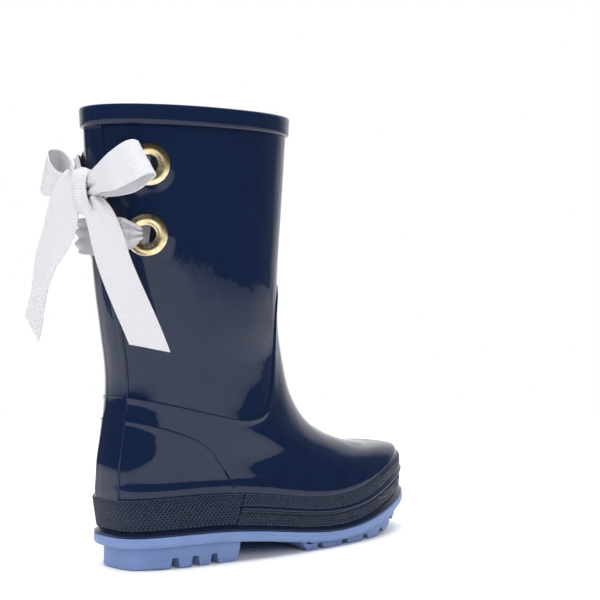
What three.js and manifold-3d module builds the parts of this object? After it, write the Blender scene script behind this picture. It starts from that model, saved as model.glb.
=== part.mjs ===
// A child's rubber rain boot with a ribbon bow threaded through four eyelets at the back.
// Right boot. X points to the toe, Y to the inner side of the foot, Z up. The origin is on the
// ground, under the middle of the leg. Millimetres.
import * as THREE from 'three';
import { ParametricGeometry } from 'three/addons/geometries/ParametricGeometry.js';
import { mergeVertices } from 'three/addons/utils/BufferGeometryUtils.js';
import Module from 'manifold-3d';

const wasm = await Module();
wasm.setup();

// ---------- driving dimensions ----------
const HEIGHT = 220.5;        // ground to the top of the collar
const LENGTH = 193;          // heel to toe, over the rubber upper
const BALL_WIDTH = 73.6;     // widest part of the forefoot
const WALL = 1.9;            // rubber wall
const LINING = 0.9;          // textile lining
const GAP = 0.3;             // clearance between neighbouring solids
const FOXING_PROUD = 1.7;    // knurled band stands out of the wall
const BEAD_PROUD = 2.4;      // smooth bead inside that band
const LIP_PROUD = 3.2;       // lip where the upper meets the outsole
const LIP_HEIGHT = 1.8;
const COLLAR_BAND = 9.6;     // height of the thick band round the mouth
const COLLAR_PROUD = 1.5;
const STAY_TOP = 12.6;         // width of the back stay at the mouth
const STAY_FOOT = 19;        // and at the heel
const STAY_PROUD = 0.5;
const FLANGE = 5.6;          // outsole rim thickness
const FLANGE_PROUD = 3.4;
const HEEL_INSET = 1.2;      // heel block, in from the line of the upper
const TREAD_INSET = 0.4;
const NOTCH_FOOT = 4.8;      // notches of the tread: width at the ground,
const NOTCH_TOP = 2.8;       // width at the top
const NOTCH_HIGH = 5.2;      // and height
const EYELET_OUTER = 20;
const EYELET_HOLE = 9;
const EYELET_TUBE = 0.6;
const EYELET_UP = 0.872;     // upper pair, fraction of the height
const EYELET_DOWN = 0.723;   // lower pair
const EYELET_BACK = 0.219;   // behind the leg's middle, fraction of the length
const RIBBON = 19.5;         // ribbon width
const RIBBON_THICK = 0.7;
const KNOT = [8.5, 13, 20];  // knot: depth, width, height
const SEGMENTS = 34;         // facets round the boot

// ---------- the last: stations from the sole line up to the collar ----------
// Each row: back x, back z, front x, front z, sag, heel half-width, ball half-width, x of the
// widest point, exponent of the rear and of the front outline. Lengths along x are fractions
// of LENGTH, heights of HEIGHT, widths of BALL_WIDTH.
const STATIONS = [
  [-0.2435, 0.0740, 0.7565, 0.0940, -0.0460, 0.416, 0.497, 0.394, 3.0, 2.35],  // sole line
  [-0.2570, 0.1560, 0.7591, 0.1912, -0.0570, 0.432, 0.500, 0.373, 3.0, 2.3],   // top of foxing
  [-0.2570, 0.1905, 0.7150, 0.2105, -0.0330, 0.421, 0.473, 0.321, 2.9, 2.2],   // toe shoulder
  [-0.2534, 0.2358, 0.5907, 0.2190, -0.0050, 0.410, 0.438, 0.228, 2.8, 2.0],   // toe top
  [-0.2425, 0.2902, 0.4223, 0.2698, 0.0, 0.402, 0.427, 0.114, 2.6, 1.95],      // vamp
  [-0.2311, 0.3537, 0.3394, 0.3469, 0.0, 0.405, 0.413, 0.041, 2.4, 1.95],      // instep
  [-0.2311, 0.4263, 0.2995, 0.4444, 0.0, 0.416, 0.416, 0.010, 2.2, 2.0],       // throat
  [-0.2456, 0.5125, 0.2725, 0.5351, 0.0, 0.432, 0.432, 0.0, 2.1, 2.15],        // ankle
  [-0.2663, 0.6349, 0.2674, 0.6485, 0.0, 0.446, 0.446, 0.0, 2.1, 2.25],        // shin
  [-0.2850, 0.7937, 0.2808, 0.8027, 0.0, 0.454, 0.454, 0.0, 2.1, 2.3],         // calf
  [-0.3016, 1.0, 0.3016, 1.0, 0.0, 0.4565, 0.4565, 0.0, 2.1, 2.3],             // collar
];
const TOP = STATIONS.length - 1;
const TOE_SWING = 4;         // the toe leans to the inner side
const SCALE = [LENGTH, HEIGHT, LENGTH, HEIGHT, HEIGHT, BALL_WIDTH, BALL_WIDTH, LENGTH, 1, 1];

// Smooth blend of the station rows at k = 0 ... TOP.
function station(k) {
  const j = Math.min(Math.max(Math.floor(k), 0), TOP - 1), u = k - j;
  return SCALE.map((scale, c) => {
    const p1 = STATIONS[j][c], p2 = STATIONS[j + 1][c];
    const p0 = j > 0 ? STATIONS[j - 1][c] : 2 * p1 - p2;
    const p3 = j + 2 <= TOP ? STATIONS[j + 2][c] : 2 * p2 - p1;
    return scale * 0.5 * (2 * p1 + (p2 - p0) * u + (2 * p0 - 5 * p1 + 4 * p2 - p3) * u * u
      + (3 * p1 - p0 - 3 * p2 + p3) * u * u * u);
  });
}

// Point of the boot's skin: station k, angle t round the boot, moved out by off.
function skin(k, t, off, target = new THREE.Vector3()) {
  const [xb, zb, xf, zf, sag, heel, ball, wide, nBack, nFront] = station(k);
  const c = Math.cos(t), s = Math.sin(t);
  const power = 2 / (c > 0 ? nFront : nBack);
  const reach = (c > 0 ? xf - wide : wide - xb) + off;
  const x = wide + reach * Math.sign(c) * Math.abs(c) ** power;
  const m = THREE.MathUtils.clamp((wide - x) / (wide - xb) / 0.75, 0, 1);
  const half = ball + (heel - ball) * m * m * (3 - 2 * m) + off;
  const q = THREE.MathUtils.clamp((x - xb) / (xf - xb), 0, 1);
  const lean = TOE_SWING * Math.max((x / LENGTH - 0.155) / 0.57, 0) ** 2 * Math.exp(-Math.max(k - 1, 0) / 1.5);
  const y = half * Math.sign(s) * Math.abs(s) ** power;
  return target.set(x, y + lean, zb + (zf - zb) * q + sag * Math.sin(Math.PI * q ** 1.5) ** 2);
}

// ---------- solids ----------
function geometryOf(solid) {
  const mesh = solid.getMesh();
  const geometry = new THREE.BufferGeometry();
  const xyz = new Float32Array(mesh.numVert * 3);
  for (let i = 0; i < mesh.numVert; i++) {
    for (let a = 0; a < 3; a++) xyz[3 * i + a] = mesh.vertProperties[mesh.numProp * i + a];
  }
  geometry.setAttribute('position', new THREE.BufferAttribute(xyz, 3));
  geometry.setIndex(new THREE.BufferAttribute(new Uint32Array(mesh.triVerts), 1));
  return geometry;
}

// A closed three.js geometry as a solid, its faces turned outwards.
function solidOf(geometry, matrix) {
  const g = geometry.clone();
  if (matrix) g.applyMatrix4(matrix);
  g.deleteAttribute('normal');
  g.deleteAttribute('uv');
  const merged = mergeVertices(g, 1e-4);
  const p = merged.attributes.position, index = merged.index.array, tris = [];
  let volume = 0;
  const [a, b, c] = [new THREE.Vector3(), new THREE.Vector3(), new THREE.Vector3()];
  for (let i = 0; i < index.length; i += 3) {
    const [i0, i1, i2] = [index[i], index[i + 1], index[i + 2]];
    if (i0 === i1 || i1 === i2 || i0 === i2) continue;
    tris.push(i0, i1, i2);
    volume += a.fromBufferAttribute(p, i0).dot(b.fromBufferAttribute(p, i1).cross(c.fromBufferAttribute(p, i2)));
  }
  if (volume < 0) for (let i = 0; i < tris.length; i += 3) [tris[i + 1], tris[i + 2]] = [tris[i + 2], tris[i + 1]];
  return new wasm.Manifold(new wasm.Mesh({
    numProp: 3, vertProperties: new Float32Array(p.array), triVerts: new Uint32Array(tris),
  }));
}

// Solid of the last between the first and the last row of a profile. A row is
// [station, offset, drop] or [station, offset, drop, absolute z]. Both ends are closed by
// ribs that run straight across the boot.
function lastSolid(profile, segments = SEGMENTS) {
  const rows = [profile[0], ...profile, profile[profile.length - 1]], p = new THREE.Vector3();
  const place = (u, v, target) => {
    const row = Math.round(v * (rows.length - 1));
    const [k, off, drop = 0, level] = rows[row];
    const t = 2 * Math.PI * (Math.round(u * segments) % segments) / segments;
    skin(k, t, off, p);
    if (row === 0 || row === rows.length - 1) p.y = (p.y + skin(k, -t, off, new THREE.Vector3()).y) / 2;
    target.set(p.x, p.y, level === undefined ? p.z + drop : level);
  };
  return solidOf(new ParametricGeometry(place, segments, rows.length - 1));
}

// Outline in the side view (x, z), carried across the boot from y0 to y1.
function sideCut(points, y0 = -90, y1 = 90) {
  const shape = new THREE.Shape(points.map(([x, z]) => new THREE.Vector2(x, z)));
  const g = new THREE.ExtrudeGeometry(shape, { depth: y1 - y0, bevelEnabled: false });
  return solidOf(g, new THREE.Matrix4().makeRotationX(Math.PI / 2).setPosition(0, y1, 0));
}

function box(x0, x1, y0, y1, z0, z1) {
  const g = new THREE.BoxGeometry(x1 - x0, y1 - y0, z1 - z0);
  return solidOf(g, new THREE.Matrix4().makeTranslation((x0 + x1) / 2, (y0 + y1) / 2, (z0 + z1) / 2));
}

// A line of the side view made smooth and moved sideways by d.
function seamLine(points, d, steps = 14) {
  const curve = new THREE.SplineCurve(points.map(([x, z]) => new THREE.Vector2(LENGTH * x, HEIGHT * z)));
  return Array.from({ length: steps + 1 }, (_, i) => {
    const p = curve.getPoint(i / steps), n = curve.getTangent(i / steps);
    return [p.x - n.y * d, p.y + n.x * d];
  });
}

// Seams, from back to front, as fractions of LENGTH and HEIGHT.
const LEG_SEAM = [[-0.42, 0.42], [-0.187, 0.367], [-0.111, 0.349], [-0.041, 0.333], [0.031, 0.3175],
  [0.078, 0.314], [0.119, 0.322], [0.150, 0.347], [0.171, 0.390], [0.192, 0.472], [0.210, 0.553],
  [0.233, 0.596], [0.269, 0.626], [0.42, 0.66]];
const COUNTER_SEAM = [[-0.42, 0.352], [-0.249, 0.330], [-0.187, 0.314], [-0.124, 0.294],
  [-0.076, 0.274], [-0.034, 0.243], [-0.0005, 0.207], [0.0197, 0.177], [0.036, 0.14], [0.05, 0.09]];
const FAR = 400;
const below = (line) => sideCut([...line, [line.at(-1)[0], -FAR], [line[0][0], -FAR]].reverse());
const above = (line) => sideCut([...line, [line.at(-1)[0], FAR], [line[0][0], FAR]]);

// ---------- upper ----------
const upperRows = [1, 1.5, 2, 2.6, 3.2, 4, 5, 6, 7.2, 8.6, TOP];
const hollow = lastSolid([[0, -WALL, -12], ...[0, 0.5, ...upperRows].map((k) => [k, -WALL]), [TOP, -WALL, 12]]);
const wallOut = lastSolid(upperRows.map((k) => [k, 0, k === 1 ? GAP : 0]));
const wall = wallOut.subtract(hollow);
const bandFoot = HEIGHT - COLLAR_BAND;
const mouth = box(-FAR, FAR, -FAR, FAR, bandFoot - GAP, FAR);

function stayCut(grow) {
  const top = STAY_TOP / 2 + grow, foot = STAY_FOOT / 2 + grow;
  const shape = new THREE.Shape([[-foot, -9], [foot, -9], [top, HEIGHT + 30], [-top, HEIGHT + 30]]
    .map(([y, z]) => new THREE.Vector2(y, z)));
  const g = new THREE.ExtrudeGeometry(shape, { depth: LENGTH, bevelEnabled: false });
  const basis = new THREE.Matrix4().makeBasis(new THREE.Vector3(0, 1, 0), new THREE.Vector3(0, 0, 1),
    new THREE.Vector3(1, 0, 0)).setPosition(-1.1 * LENGTH, 0, 0);
  return solidOf(g, basis);
}

// ---------- eyelet places ----------
function skinAt(x, z, side) {
  let k = TOP, t = Math.PI;
  for (let pass = 0; pass < 3; pass++) {
    let [lo, hi] = [5, TOP];
    for (let i = 0; i < 40; i++) { k = (lo + hi) / 2; if (skin(k, t, 0).z < z) lo = k; else hi = k; }
    [lo, hi] = [Math.PI / 2, Math.PI];
    for (let i = 0; i < 40; i++) { t = (lo + hi) / 2; if (skin(k, t, 0).x > x) lo = t; else hi = t; }
  }
  const at = skin(k, side * t, 0).clone();
  const round = skin(k, side * t + 1e-3, 0).clone().sub(at), up = skin(k - 1e-3, side * t, 0).clone().sub(at);
  const out = round.cross(up).normalize();
  if (out.x > 0) out.negate();
  return { at, out, up: new THREE.Vector3(0, 0, 1) };
}
const eyelets = [];
for (const [level, z] of [['upper', EYELET_UP], ['lower', EYELET_DOWN]]) {
  for (const [hand, side] of [['left', 1], ['right', -1]]) {
    eyelets.push({ name: `${level}_${hand}`, side, level, ...skinAt(-EYELET_BACK * LENGTH, z * HEIGHT, side) });
  }
}
const onEyelet = ({ at, out }) => new THREE.Matrix4().makeRotationFromQuaternion(
  new THREE.Quaternion().setFromUnitVectors(new THREE.Vector3(0, 1, 0), out)).setPosition(at);
const turned = (points, segments) => new THREE.LatheGeometry(points.map(([r, h]) => new THREE.Vector2(r, h)), segments);
const boreRadius = EYELET_HOLE / 2 + EYELET_TUBE + GAP;
const bores = eyelets.map((e) => solidOf(new THREE.CylinderGeometry(boreRadius, boreRadius, 30, 18), onEyelet(e)));
const bored = (solid) => bores.reduce((s, bore) => s.subtract(bore), solid);

const leg = bored(wall.intersect(above(seamLine(LEG_SEAM, GAP / 2))).subtract(mouth).subtract(stayCut(GAP)));
const lowerHalf = wall.subtract(above(seamLine(LEG_SEAM, -GAP / 2))).subtract(stayCut(GAP));
const vamp = lowerHalf.subtract(below(seamLine(COUNTER_SEAM, GAP / 2)));
const counter = lowerHalf.intersect(below(seamLine(COUNTER_SEAM, -GAP / 2)));
const outerSide = box(-FAR, FAR, -FAR, 0, 0, FAR);
const stay = lastSolid(upperRows.map((k) => [k, STAY_PROUD, k === 1 ? GAP : 0])).subtract(hollow)
  .intersect(stayCut(0)).subtract(mouth);
const collar = lastSolid([[9, COLLAR_PROUD], [9.93, COLLAR_PROUD], [10, COLLAR_PROUD - 0.6]])
  .subtract(hollow).subtract(box(-FAR, FAR, -FAR, FAR, 0, bandFoot));

// ---------- foxing ----------
const lipTop = 0.107;        // station of the lip's top edge
const lip = lastSolid([[0, LIP_PROUD - 0.5], [0.03, LIP_PROUD], [lipTop, LIP_PROUD - 0.7]]).subtract(hollow);
const foxing = (rows) => lastSolid([[lipTop + 0.018, 0.9], ...rows, [1, FOXING_PROUD - 0.7]]).subtract(hollow);
const plainBand = foxing([[0.17, FOXING_PROUD], [0.95, FOXING_PROUD]]);
const beadBand = foxing([[0.17, FOXING_PROUD], [0.45, FOXING_PROUD], [0.48, BEAD_PROUD], [0.57, BEAD_PROUD],
  [0.6, FOXING_PROUD], [0.95, FOXING_PROUD]]);
// Slanting ends of the three lengths, on the outer side, on the inner side at the heel, and at the toe.
const slant = (top, foot, z0 = 0.05, z1 = 0.24) => [[foot * LENGTH, z0 * HEIGHT], [top * LENGTH, z1 * HEIGHT]];
const OUTER_END = slant(0.058, 0.022), INNER_END = slant(-0.01, 0.062), TOE_END = slant(0.25, 0.19);
function ahead([[x0, z0], [x1, z1]], shift, y0, y1) {
  return sideCut([[x0 + shift, z0], [FAR, z0], [FAR, z1], [x1 + shift, z1]], y0, y1);
}
const half = GAP / 2;
const heelFoxing = plainBand.subtract(ahead(OUTER_END, -half, -90, 0)).subtract(ahead(INNER_END, -half, 0, 90));
const toeFoxing = beadBand.subtract(box(-FAR, FAR, 0, 90, 0, FAR).subtract(ahead(TOE_END, half, -1, 91)))
  .intersect(ahead(OUTER_END, half, -90, 90));
const archFoxing = plainBand.intersect(ahead(INNER_END, half, 0, 90)).subtract(ahead(TOE_END, -half, -1, 91));

// ---------- outsole ----------
const flange = lastSolid([[0, FLANGE_PROUD - 1.4, -FLANGE], [0, FLANGE_PROUD - 0.5, -FLANGE + 0.8],
  [0, FLANGE_PROUD, -FLANGE + 2.4], [0, FLANGE_PROUD, -GAP - 0.6], [0, FLANGE_PROUD - 0.5, -GAP]]);
const HEEL_END = [0.041, 0.057];   // heel block's front face at the ground and at the rim
const heelTop = 0.058 * HEIGHT;
const heelBlock = lastSolid([[0, -HEEL_INSET - 0.9, 0, 0], [0, -HEEL_INSET, 0, 1.3], [0, -HEEL_INSET, 0, heelTop]])
  .intersect(sideCut([[-FAR, -9], [HEEL_END[0] * LENGTH, -9], [HEEL_END[1] * LENGTH, heelTop + 2], [-FAR, heelTop + 2]]));
const TREAD_LINE = [[0.215, 0.05], [0.262, 0.0], [0.545, 0.0], [0.60, 0.011], [0.66, 0.034], [0.715, 0.058], [0.76, 0.07]];
const tread = lastSolid([[0, -TREAD_INSET, 0, -1], [0, -TREAD_INSET, 0, 0.16 * HEIGHT]])
  .intersect(sideCut([...TREAD_LINE.map(([x, z]) => [x * LENGTH, z * HEIGHT]),
    [0.76 * LENGTH, 0.086 * HEIGHT], [0.7 * LENGTH, 0.078 * HEIGHT], [0.6 * LENGTH, 0.052 * HEIGHT],
    [0.45 * LENGTH, 0.036 * HEIGHT], [0.3 * LENGTH, 0.036 * HEIGHT], [0.222 * LENGTH, 0.044 * HEIGHT]]));
function notch(x, z, high) {
  const [foot, top] = [NOTCH_FOOT / 2, NOTCH_TOP / 2];
  return sideCut([[x - foot * 1.5, z - 3], [x + foot * 1.5, z - 3], [x + foot, z], [x + top, z + high], [x - top, z + high],
    [x - foot, z]]);
}
const HEEL_NOTCHES = [-0.1332, -0.0788, -0.0254];
const TREAD_NOTCHES = [[0.306, 0], [0.399, 0], [0.487, 0], [0.565, 0.004], [0.63, 0.022], [0.69, 0.047]];
let outsole = flange.add(HEEL_NOTCHES.reduce((s, x) => s.subtract(notch(x * LENGTH, 0, NOTCH_HIGH)), heelBlock));
outsole = outsole.add(TREAD_NOTCHES.reduce((s, [x, z]) => s.subtract(notch(x * LENGTH, z * HEIGHT, 0.6 * NOTCH_HIGH)), tread));

// ---------- inside ----------
const BOARD = 2.2, FOOTBED = 3.4;
const inner = -WALL - GAP;
const board = lastSolid([[0, inner, 0], [0, inner, BOARD]]);
const liningFoot = 0.17, floorRow = liningFoot + 0.055;
const innerRows = [0.6, 1.2, 2, 2.8, 3.8, 5, 7.2, 8.6];
const lining = bored(lastSolid([liningFoot, 0.5, ...upperRows].map((k) => [k, inner]))
  .subtract(lastSolid([...[floorRow, ...innerRows, TOP].map((k) => [k, inner - LINING]), [TOP, inner - LINING, 9]]))
  .subtract(box(-FAR, FAR, -FAR, FAR, HEIGHT - 1.2, FAR)));
const bedFoot = floorRow + 0.02;
const footbed = lastSolid([[bedFoot, inner - LINING - GAP], [bedFoot, inner - LINING - GAP, FOOTBED]]);

// ---------- eyelets ----------
const hole = EYELET_HOLE / 2, tube = hole + EYELET_TUBE, rim = EYELET_OUTER / 2;
const reachIn = WALL + GAP + LINING + 2.9;
const eyeletProfile = [[hole, -reachIn], [tube, -reachIn], [tube, GAP], [rim - 0.9, GAP], [rim, 0.75],
  [rim - 0.4, 1.5], [(rim + hole) / 2 + 0.6, 2.2], [hole + 1.1, 1.9], [hole, 0.9], [hole, -reachIn]];
const backOf = WALL + GAP + LINING + 1.7;
const washerProfile = [[tube + GAP, -backOf - 0.8], [hole + 3, -backOf - 0.8], [hole + 3, -backOf], [tube + GAP, -backOf],
  [tube + GAP, -backOf - 0.8]];

// ---------- ribbon ----------
const mix = (rows, v, columns) => {
  const s = v * (rows.length - 1), j = Math.min(Math.floor(s), rows.length - 2), u = s - j;
  return columns.map((c) => {
    const p1 = rows[j][c], p2 = rows[j + 1][c];
    const p0 = j > 0 ? rows[j - 1][c] : 2 * p1 - p2;
    const p3 = j + 2 < rows.length ? rows[j + 2][c] : 2 * p2 - p1;
    return 0.5 * (2 * p1 + (p2 - p0) * u + (2 * p0 - 5 * p1 + 4 * p2 - p3) * u * u
      + (3 * p1 - p0 - 3 * p2 + p3) * u * u * u);
  });
};
// A flat band swept along a curve. Each row is [x, y, z, width, thickness, ax, ay, az], where
// a is the direction across the band. slant moves the two corners of the far end apart.
function band(rows, steps, slant = 0) {
  const corner = [[-1, -1], [1, -1], [1, 1], [-1, 1]];
  const place = (u, v, target) => {
    const line = Math.round(v * (steps + 2)), row = THREE.MathUtils.clamp(line - 1, 0, steps), w = row / steps;
    const along = new THREE.Vector3(...mix(rows, Math.min(w + 0.01, 1), [0, 1, 2]))
      .sub(new THREE.Vector3(...mix(rows, Math.max(w - 0.01, 0), [0, 1, 2]))).normalize();
    const across = new THREE.Vector3(...mix(rows, w, [5, 6, 7]));
    across.addScaledVector(along, -across.dot(along)).normalize();
    const face = across.clone().cross(along);
    const [width, thick] = mix(rows, w, [3, 4]), [a, b] = corner[Math.round(u * 4) % 4];
    const closing = line === 0 || line === steps + 2;
    target.set(...mix(rows, w, [0, 1, 2])).addScaledVector(across, a * width / 2)
      .addScaledVector(face, closing ? 0 : b * thick / 2).addScaledVector(along, a * slant * w ** 6);
  };
  return solidOf(new ParametricGeometry(place, 4, steps + 2));
}
const mirrored = (rows) => rows.map(([x, y, z, w, t, ax, ay, az]) => [x, -y, z, w, t, ax, -ay, az]);

// Place beside an eyelet: s towards the back of the leg, h out from the wall.
function beside(e, s, h, ...rest) {
  const round = new THREE.Vector3(0, 0, -e.side).cross(e.out).negate();
  const p = e.at.clone().addScaledVector(round, s).addScaledVector(e.out, h);
  return [p.x, p.y, p.z, ...rest];
}
const eyeletOf = (name) => eyelets.find((e) => e.name === name);
const [lowR, upR] = [eyeletOf('lower_right'), eyeletOf('upper_right')];
const backAt = (z) => skinAt(-0.4 * LENGTH, z, 1).at.x;
const T = RIBBON_THICK, BUNCH = 0.68 * EYELET_HOLE;   // ribbon gathered to pass a hole
const UPRIGHT = [0, 0, 1];

// Lower run: across the back and in through both lower eyelets.
const lowBack = backAt(lowR.at.z) - STAY_PROUD - 1.4;
const runIn = (e) => [beside(e, 11.5, 3.9, 14, 1, ...UPRIGHT), beside(e, 4.2, 4.9, 10.5, 1.3, ...UPRIGHT),
  beside(e, 2.2, 2.4, BUNCH, 1.6, ...UPRIGHT), beside(e, 2, -1, BUNCH, 1.6, ...UPRIGHT),
  beside(e, 2, -6.5, BUNCH, 1.6, ...UPRIGHT)];
const lowHalf = [[lowBack, 0, lowR.at.z - 0.5, 15.5, 1, ...UPRIGHT], ...runIn(lowR)];
const lowerBar = band([...mirrored(lowHalf.slice(1)).reverse(), ...lowHalf], 30);

// Inner run: up the inside of the leg from the lower eyelet to the upper one.
const innerDepth = -6.5 - T / 2 - 0.4;
const roundOf = (e) => new THREE.Vector3(0, 0, -e.side).cross(e.out).negate();
const upRun = [beside(lowR, 2.5, innerDepth, 10, T), beside(upR, 2.5, innerDepth, 10, T)]
  .map((row, i) => [row[0], row[1], row[2] + (i ? 5 : -5), row[3], row[4], ...roundOf(i ? upR : lowR).toArray()]);

// Knot, and the upper run that comes out of the upper eyelet and goes into the knot's side.
const knot = new THREE.Vector3(-0.339 * LENGTH, -0.02 * LENGTH, 0.8145 * HEIGHT);
const knotSolid = solidOf(new THREE.SphereGeometry(1, 14, 10), new THREE.Matrix4().compose(knot,
  new THREE.Quaternion().setFromEuler(new THREE.Euler(-0.12, 0, 0)), new THREE.Vector3(...KNOT.map((d) => 0.56 * d))));
const knotSide = (side) => [knot.x + 5, knot.y + side * 0.62 * KNOT[1], knot.z - 1, 10, 1, 0, 0, 1];
const runOut = (e, y) => [knotSide(y), ...runIn(e).map((r, i) => (i === 0 ? [r[0] - 0.6, r[1], r[2] - 4, ...r.slice(3)] : r))];
const upperRight = band(runOut(upR, -1), 20);
const upperLeft = band(runOut(eyeletOf('upper_left'), 1), 20);

// Loops: out from the knot, round, and back behind.
function loop(toEnd, size, tilt, lift = 0) {
  const e1 = new THREE.Vector3(...toEnd).normalize();
  const across = new THREE.Vector3(0, tilt, 1).addScaledVector(e1, -e1.z).normalize();
  const e2 = e1.clone().cross(across);
  if (e2.x > 0) e2.negate();
  const path = [[0, 2.6, 12], [6.5, 7.4, 16.5], [17.5, 9.6, RIBBON], [26.5, 8, RIBBON], [31, 2.8, RIBBON], [28, -2.4, RIBBON],
    [18.5, -2.8, RIBBON], [7.5, -0.8, 16.5], [0.4, 0.2, 12]];
  const rows = path.map(([s, h, w]) => {
    const p = knot.clone().addScaledVector(e1, 0.62 * KNOT[1] + s * size).addScaledVector(e2, h + lift);
    return [p.x, p.y, p.z, w, T, ...across.toArray()];
  });
  return band(rows, 20);
}
const loopRight = loop([0.24, -0.93, 0.38], 1, 0.3);
const loopLeft = loop([0.26, 0.9, 0.38], 0.8, -0.1, 3);

// Tails: hanging from just below the knot, each turned a little differently, cut on a slant.
const hang = (rows) => rows.map(([x, y, z, w, ...a]) => [knot.x + x, knot.y + y, knot.z + z, w, T, ...a]);
const tailRight = band(hang([[1.2, -12.5, -12.6, 13, 0.5, -0.85, 0], [2, -15.2, -20, 17, 0.5, -0.85, 0],
  [3.6, -18, -32, RIBBON, 0.3, -0.95, 0], [6.2, -25.5, -49, RIBBON, 0.25, -0.97, 0], [9.4, -36.6, -72, RIBBON, 0.25, -0.97, 0]]), 14, 6.5);
const tailLeft = band(hang([[-4.2, 8.2, -12.6, 13, 0, 1, 0], [-4.6, 10.8, -20, 17, -0.1, 1, 0],
  [-5.6, 17, -32, RIBBON, 0, 1, 0], [-7.2, 25, -48, RIBBON, 0.04, 1, 0], [-8.2, 32, -64, RIBBON, 0.05, 1, 0]]), 14, -3.5);

// ---------- the boot ----------
const looks = {
  rubber: { color: 0x121a33, roughness: 0.16, metalness: 0 },
  sole: { color: 0x6f88c4, roughness: 0.6, metalness: 0 },
  brass: { color: 0xb59a5c, roughness: 0.28, metalness: 1 },
  ribbon: { color: 0xe9e9ee, roughness: 0.8, metalness: 0 },
  textile: { color: 0x7d7f88, roughness: 0.95, metalness: 0 },
  board: { color: 0x5a5148, roughness: 0.9, metalness: 0 },
};
const boot = new THREE.Group();
function add(name, solid, look) {
  const mesh = new THREE.Mesh(solid.isBufferGeometry ? solid : geometryOf(solid), new THREE.MeshStandardMaterial(looks[look]));
  mesh.name = name;
  boot.add(mesh);
  return mesh;
}
add('outsole', outsole, 'sole');
add('welt_lip', lip, 'rubber');
add('heel_foxing', heelFoxing, 'rubber');
add('toe_foxing', toeFoxing, 'rubber');
add('arch_foxing', archFoxing, 'rubber');
add('vamp', vamp, 'rubber');
add('counter_outer', counter.intersect(outerSide), 'rubber');
add('counter_inner', counter.subtract(outerSide), 'rubber');
add('leg', leg, 'rubber');
add('back_stay', stay, 'rubber');
add('collar_band', collar, 'rubber');
add('insole_board', board, 'board');
add('lining', lining, 'textile');
add('footbed', footbed, 'textile');
for (const e of eyelets) {
  for (const [part, profile, sides] of [['eyelet', eyeletProfile, 18], ['washer', washerProfile, 14]]) {
    add(`${part}_${e.name}`, turned(profile, sides), 'brass').applyMatrix4(onEyelet(e));
  }
}
add('ribbon_back_run', lowerBar, 'ribbon');
add('ribbon_inner_right', band(upRun, 2), 'ribbon');
add('ribbon_inner_left', band(mirrored(upRun), 2), 'ribbon');
add('ribbon_upper_right', upperRight, 'ribbon');
add('ribbon_upper_left', upperLeft, 'ribbon');
add('bow_knot', knotSolid, 'ribbon');
add('bow_loop_right', loopRight, 'ribbon');
add('bow_loop_left', loopLeft, 'ribbon');
add('bow_tail_right', tailRight, 'ribbon');
add('bow_tail_left', tailLeft, 'ribbon');

export default boot;
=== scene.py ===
# %% [markdown]
# # A child's rubber rain boot, built piece by piece
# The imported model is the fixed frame: it gives every place and size, and it moves in the poses.
# Here each moulded panel, the knurled bands, the sole, the brass eyelets and the ribbon are made
# again with fine meshes and node materials. Lengths in the helpers are millimetres, because a
# shoemaker thinks in them; every finished point is turned into metres.

# %% Load the frame
import bpy
import bmesh
import bisect
import math
from mathutils import Matrix, Vector


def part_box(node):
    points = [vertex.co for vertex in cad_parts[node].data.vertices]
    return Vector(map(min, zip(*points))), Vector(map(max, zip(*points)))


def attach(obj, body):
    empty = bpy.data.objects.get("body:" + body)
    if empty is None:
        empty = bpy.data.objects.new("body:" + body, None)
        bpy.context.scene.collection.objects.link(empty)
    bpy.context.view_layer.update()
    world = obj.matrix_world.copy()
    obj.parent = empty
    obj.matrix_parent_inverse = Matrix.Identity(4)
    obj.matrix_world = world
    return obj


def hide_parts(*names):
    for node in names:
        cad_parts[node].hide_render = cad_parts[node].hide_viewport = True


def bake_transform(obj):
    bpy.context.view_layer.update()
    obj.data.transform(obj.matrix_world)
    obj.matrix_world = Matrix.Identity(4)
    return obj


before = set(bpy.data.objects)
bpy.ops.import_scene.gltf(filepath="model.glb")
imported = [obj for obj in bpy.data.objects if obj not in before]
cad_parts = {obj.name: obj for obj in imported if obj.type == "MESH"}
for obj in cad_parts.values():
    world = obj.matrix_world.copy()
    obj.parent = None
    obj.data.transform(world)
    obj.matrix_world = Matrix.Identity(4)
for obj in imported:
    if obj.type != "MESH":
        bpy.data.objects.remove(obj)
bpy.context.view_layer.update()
MM = 0.001

# %% [markdown]
# The boot is drawn on a *last*, the wooden foot that a shoemaker pulls the upper over. Eleven
# stations, from the sole line up to the mouth, each hold an egg-shaped outline. A smooth blend
# between them gives the whole skin, and every panel is a part of that one skin, so neighbours
# always fit.

# %% Sizes and stations of the last
HEIGHT, LENGTH, BALL = 220.5, 193.0, 73.6
WALL, LINING, GAP = 1.9, 0.9, 0.3
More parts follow.
